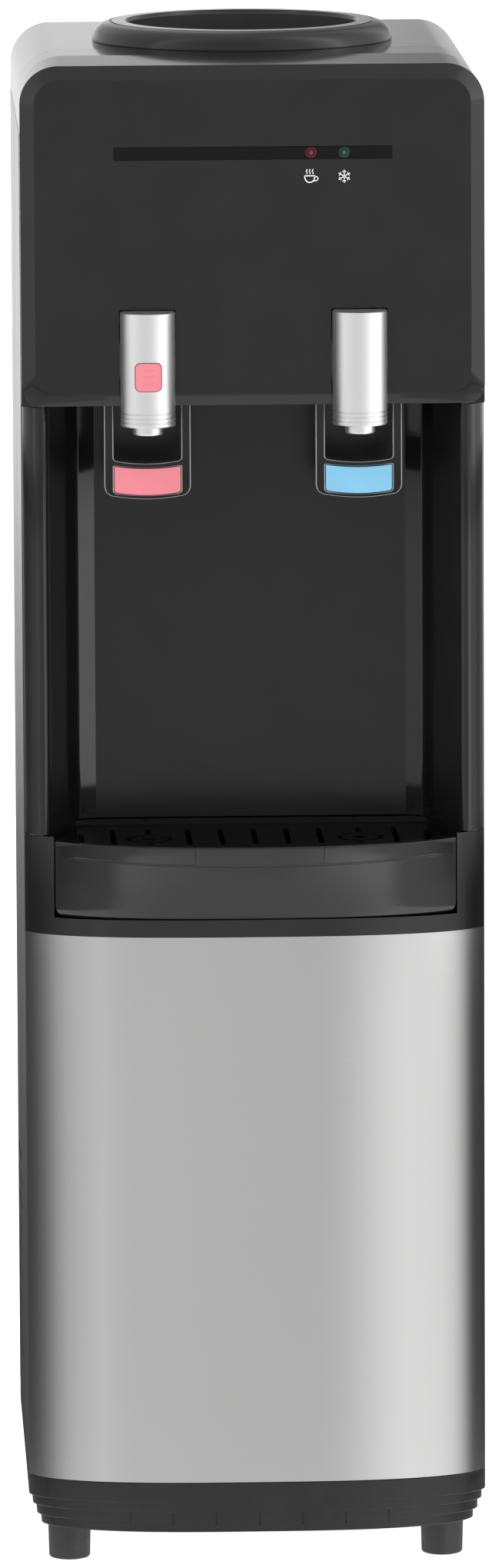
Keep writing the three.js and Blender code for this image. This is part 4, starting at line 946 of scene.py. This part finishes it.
def build_condenser():
    """A tube that runs to and fro, with wires across it on both sides and two bars on feet behind it."""
    low = box_mm("condenser")[0]
    y = low[1] + 10.5
    rows, reach, z0 = 8, 86, 190
    pitch = 46
    z1 = z0 + (rows - 1) * pitch
    points = []
    for row in range(rows):
        z = z0 + row * pitch
        side = 1 if row % 2 else -1
        points += [(-side * reach * (1 - 2 * k / 12), z) for k in range(13)]
        if row < rows - 1:
            for k in range(1, 14):
                t = math.pi * k / 14
                points.append((side * (reach + pitch / 2 * math.sin(t)), z + pitch / 2 * (1 - math.cos(t))))
    rings = []
    radius = 2.4
    for i, (x, z) in enumerate(points):
        a = Vector(points[max(0, i - 1)])
        b = Vector(points[min(len(points) - 1, i + 1)])
        across = (b - a).normalized() * radius
        rings.append([(x - across.y * math.cos(t), y + radius * math.sin(t), z + across.x * math.cos(t))
                      for t in turns(20)])
    parts = [loft(rings)]
    for k in range(15):
        x = -77 + 11 * k
        parts += [rod(0.75, (x, y + side, z0 - 11), (x, y + side, z1 + 11), 10) for side in (-2.9, 2.9)]
    for x in (-66, 66):
        for z in (z0 + pitch / 2, z1 - pitch / 2):
            parts.append(block((x - 4, x + 4), (low[1], y + 2), (z - 4, z + 4)))
        parts.append(block((x - 1, x + 1), (y + 1.2, y + 3), (z0 - 12, z1 + 12)))
    work = bmesh.new()
    for mesh in parts:
        work.from_mesh(mesh)
        bpy.data.meshes.remove(mesh)
    whole = bpy.data.meshes.new("work")
    work.to_mesh(whole)
    work.free()
    finished(whole, "condenser", sharp=40)


def build_springs():
    """Each valve spring keeps its CAD shape, on a mesh of its own."""
    for name in ("hot", "cold"):
        node = f"{name}_valve_spring"
        coil = finished(frame["nodes"][node].data.copy(), node)
        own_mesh(coil)


def build_plain():
    """Every other piece keeps its CAD shape; the small fittings at the back get softened edges."""
    soft = {"switch_bezel": 0.5, "hot_switch": 0.5, "cold_switch": 0.5, "drain_cap": 0.6, "drain_outlet": 0.3,
            "cord_inlet": 0.5}
    for node, width in soft.items():
        refined(node, width)
    for node in sorted(frame["nodes"]):
        obj = frame["nodes"][node]
        if obj.hide_render:
            continue
        material = MATERIALS[SLOT_OF[node]]
        for slot in obj.material_slots:
            slot.material = material
        if not obj.material_slots:
            obj.data.materials.append(material)


# ------------------------------ studio
PHOTO_HEIGHT = 2039  # pixels
FOCAL_LENGTH = 14864.3  # pixels
SENSOR = 36.0
CAMERA_AT = (-0.26285, -6.98285, 1.55045)
YAW, PITCH, ROLL = 0.03755, 0.1539, -0.0047


def build_camera():
    data = bpy.data.cameras.new("camera")
    camera = bpy.data.objects.new("camera", data)
    SCENE.collection.objects.link(camera)
    camera.location = CAMERA_AT
    forward = Vector((math.sin(YAW) * math.cos(PITCH), math.cos(YAW) * math.cos(PITCH), -math.sin(PITCH)))
    level = Vector((math.cos(YAW), -math.sin(YAW), 0))
    upright = level.cross(forward)
    right = level * math.cos(ROLL) + upright * math.sin(ROLL)
    up = -level * math.sin(ROLL) + upright * math.cos(ROLL)
    camera.rotation_euler = Matrix((right, up, -forward)).transposed().to_euler()
    data.sensor_fit = "VERTICAL"
    data.sensor_height = SENSOR
    data.sensor_width = SENSOR
    data.lens = FOCAL_LENGTH * SENSOR / PHOTO_HEIGHT
    data.clip_end = 100
    SCENE.camera = camera


def build_lamp():
    data = bpy.data.lights.new("key", "AREA")
    data.shape = "RECTANGLE"
    data.size, data.size_y = 1.6, 1.6
    data.energy = 22
    lamp = bpy.data.objects.new("key", data)
    SCENE.collection.objects.link(lamp)
    lamp.location = (-1.2, -2.6, 3.2)
    lamp.rotation_euler = (Vector((0, 0, 0.6)) - lamp.location).to_track_quat("-Z", "Y").to_euler()
    lamp.visible_glossy = False


# Brightness of the surround by degrees round the object, 0 being in front and left negative: LOW_GLOW for low
# heights, MID_GLOW from about 0.23 m up, HIGH_GLOW from about 0.51 m up and FLOOR_GLOW under the floor.
LOW_GLOW = [(-180, 0.075), (-130, 0.088), (-100, 0.108), (-84, 0.142), (-76, 0.192), (-67, 0.275),
            (-60, 0.394), (-52, 0.59), (-46, 0.738), (-41, 0.851), (-36, 0.904), (-32, 0.934), (-29, 1.027),
            (-25.8, 1.093), (-22.5, 0.977), (-16, 0.921), (-6, 0.93), (2, 0.89), (7, 0.829), (10.3, 0.901),
            (15.6, 1.174), (20, 1.319), (25, 1.457), (45, 1.379), (51, 1.261), (57, 1.083), (64, 0.725),
            (71.6, 0.312), (80, 0.113), (88, 0.092), (98, 0.087), (130, 0.069), (180, 0.064)]
MID_GLOW = [(-180, 0.15), (-110, 0.2), (-80, 0.7), (-50, 1.15), (-42, 1.15), (-33, 0.85), (-20, 0.85),
            (-5, 0.78), (10, 0.78), (30, 0.95), (38, 1.9), (42, 2.5), (52, 2.5), (62, 1.4), (80, 1.2),
            (100, 0.5), (180, 0.15)]
HIGH_GLOW = [(-180, 0.8), (-80, 0.9), (-72, 1.45), (-50, 0.9), (-20, 0.75), (10, 0.75), (30, 1.0), (50, 1.2),
             (70, 2.1), (78, 2.75), (92, 1.5), (115, 0.9), (180, 0.9)]
FLOOR_GLOW = [(-180, 1.7), (-60, 2.1), (-30, 2.0), (-12, 1.5), (8, 1.4), (16, 1.65), (30, 2.6), (70, 2.4),
              (180, 1.7)]
# brightness behind the object, by height
BACK_GLOW = [(-0.2, 0.09), (-0.07, 0.11), (0.0, 0.14), (0.07, 0.17), (0.14, 0.195), (0.19, 0.24), (0.24, 0.33),
             (0.31, 0.455), (0.40, 0.67), (0.48, 0.9), (0.6, 1.0), (1.0, 1.0)]
TUBE_RADIUS = 1.5
TUBE_SIDES = 360


def read_off(table, at):
    """The value of a table of points at one place, with straight lines between them."""
    if at <= table[0][0]:
        return table[0][1]
    for (x0, v0), (x1, v1) in zip(table, table[1:]):
        if at <= x1:
            return v0 + (v1 - v0) * (at - x0) / (x1 - x0)
    return table[-1][1]


def glow(angle, height):
    """The surround's brightness at one place."""
    middle, upper = ramp(height, 0.205, 0.25), ramp(height, 0.503, 0.512)
    value = read_off(LOW_GLOW, angle) * (1 - middle) + read_off(MID_GLOW, angle) * middle
    value *= 1 - 0.5 * ramp(height, 0.464, 0.472)
    value = value * (1 - upper) + read_off(HIGH_GLOW, angle) * upper
    value += (read_off(FLOOR_GLOW, angle) - value) * ramp(-height, 0.25, 0.5)
    behind = ramp(abs(angle), 140, 160)
    back = read_off(BACK_GLOW, height)
    across = math.sin(math.radians(angle)) * TUBE_RADIUS
    if height > 1.0:
        back = (0.95 - 0.5 * ramp(across, -0.08, 0.24)) * (1 - 0.25 * ramp(height, 1.12, 1.18))
    elif height > 0.75:
        back *= 1 - 0.35 * ramp(across, 0.1, 0.2)
    return value * (1 - behind) + back * behind


def build_surround():
    """A lit tube round the object that only glossy surfaces see."""
    levels = [-1.5, -0.5, -0.4, -0.3, -0.25] + [-0.2 + 0.04 * k for k in range(10)]
    levels += [0.2, 0.22, 0.235, 0.25, 0.3, 0.35, 0.4, 0.44, 0.464, 0.468, 0.472, 0.503, 0.5075, 0.512, 0.56,
               0.6, 0.7, 0.75, 0.8, 0.85, 0.99, 1.01, 1.1, 1.15, 1.2, 1.4, 2.4]
    n = TUBE_SIDES
    first, last = 2, 2 + (len(levels) - 1) * n  # after the middles of the two ends
    verts, faces, glows = [(0, 0, levels[0]), (0, 0, levels[-1])], [], [0.5, 0.95]
    for z in levels:
        for k in range(n):
            angle = k - 180
            t = math.radians(angle)
            verts.append((TUBE_RADIUS * math.sin(t), -TUBE_RADIUS * math.cos(t), z))
            glows.append(glow(angle, z))
    for row in range(len(levels) - 1):
        for k in range(n):
            a, b = first + row * n + k, first + row * n + (k + 1) % n
            faces.append((a, b, b + n, a + n))
    faces += [(0, first + (k + 1) % n, first + k) for k in range(n)]
    faces += [(1, last + k, last + (k + 1) % n) for k in range(n)]
    mesh = bpy.data.meshes.new("surround")
    mesh.from_pydata(verts, [], faces)
    colors = mesh.color_attributes.new("glow", "FLOAT_COLOR", "POINT")
    colors.data.foreach_set("color", [c for g in glows for c in (g, g, g, 1.0)])
    material = bpy.data.materials.new("surround")
    material.use_nodes = True
    tree = material.node_tree
    tree.nodes.clear()
    layer = tree.nodes.new("ShaderNodeVertexColor")
    layer.layer_name = "glow"
    light = tree.nodes.new("ShaderNodeEmission")
    out = tree.nodes.new("ShaderNodeOutputMaterial")
    tree.links.new(layer.outputs["Color"], light.inputs["Color"])
    tree.links.new(light.outputs["Emission"], out.inputs["Surface"])
    material.cycles.emission_sampling = "NONE"
    mesh.materials.append(material)
    tube = bpy.data.objects.new("surround", mesh)
    SCENE.collection.objects.link(tube)
    tube.visible_camera = False
    tube.visible_diffuse = False
    tube.visible_shadow = False
    tube.visible_transmission = False
    tube.visible_volume_scatter = False


def build_studio():
    mesh = bpy.data.meshes.new("floor")
    mesh.from_pydata([(-40, -40, 0), (40, -40, 0), (40, 60, 0), (-40, 60, 0)], [], [(0, 1, 2, 3)])
    floor = bpy.data.objects.new("floor", mesh)
    SCENE.collection.objects.link(floor)
    paint = moulded("floor_paint", gray(0.40), (0.6, 0.7), 0.01, (300, 0.02, 0.00005), 3,
                    {"Emission Strength": 0.96, "Emission Color": (1, 1, 1, 1)})
    mesh.materials.append(paint)
    floor.visible_glossy = False
    floor.visible_diffuse = False

    world = bpy.data.worlds.new("studio")
    SCENE.world = world
    world.use_nodes = True
    back = world.node_tree.nodes["Background"]
    back.inputs["Color"].default_value = (1, 1, 1, 1)
    back.inputs["Strength"].default_value = 1.3
    build_lamp()
    build_surround()
    SCENE.view_settings.view_transform = "Standard"


build_camera()
build_materials()
build_front_cover()
build_top_cover()
build_icons()
build_indicator()
build_alcove()
build_housing()
build_tray()
build_grille()
build_seat()
build_tap(-1, "hot")
build_tap(1, "cold")
build_child_lock()
build_steel()
build_base()
build_feet()
build_condenser()
build_springs()
build_plain()
build_studio()
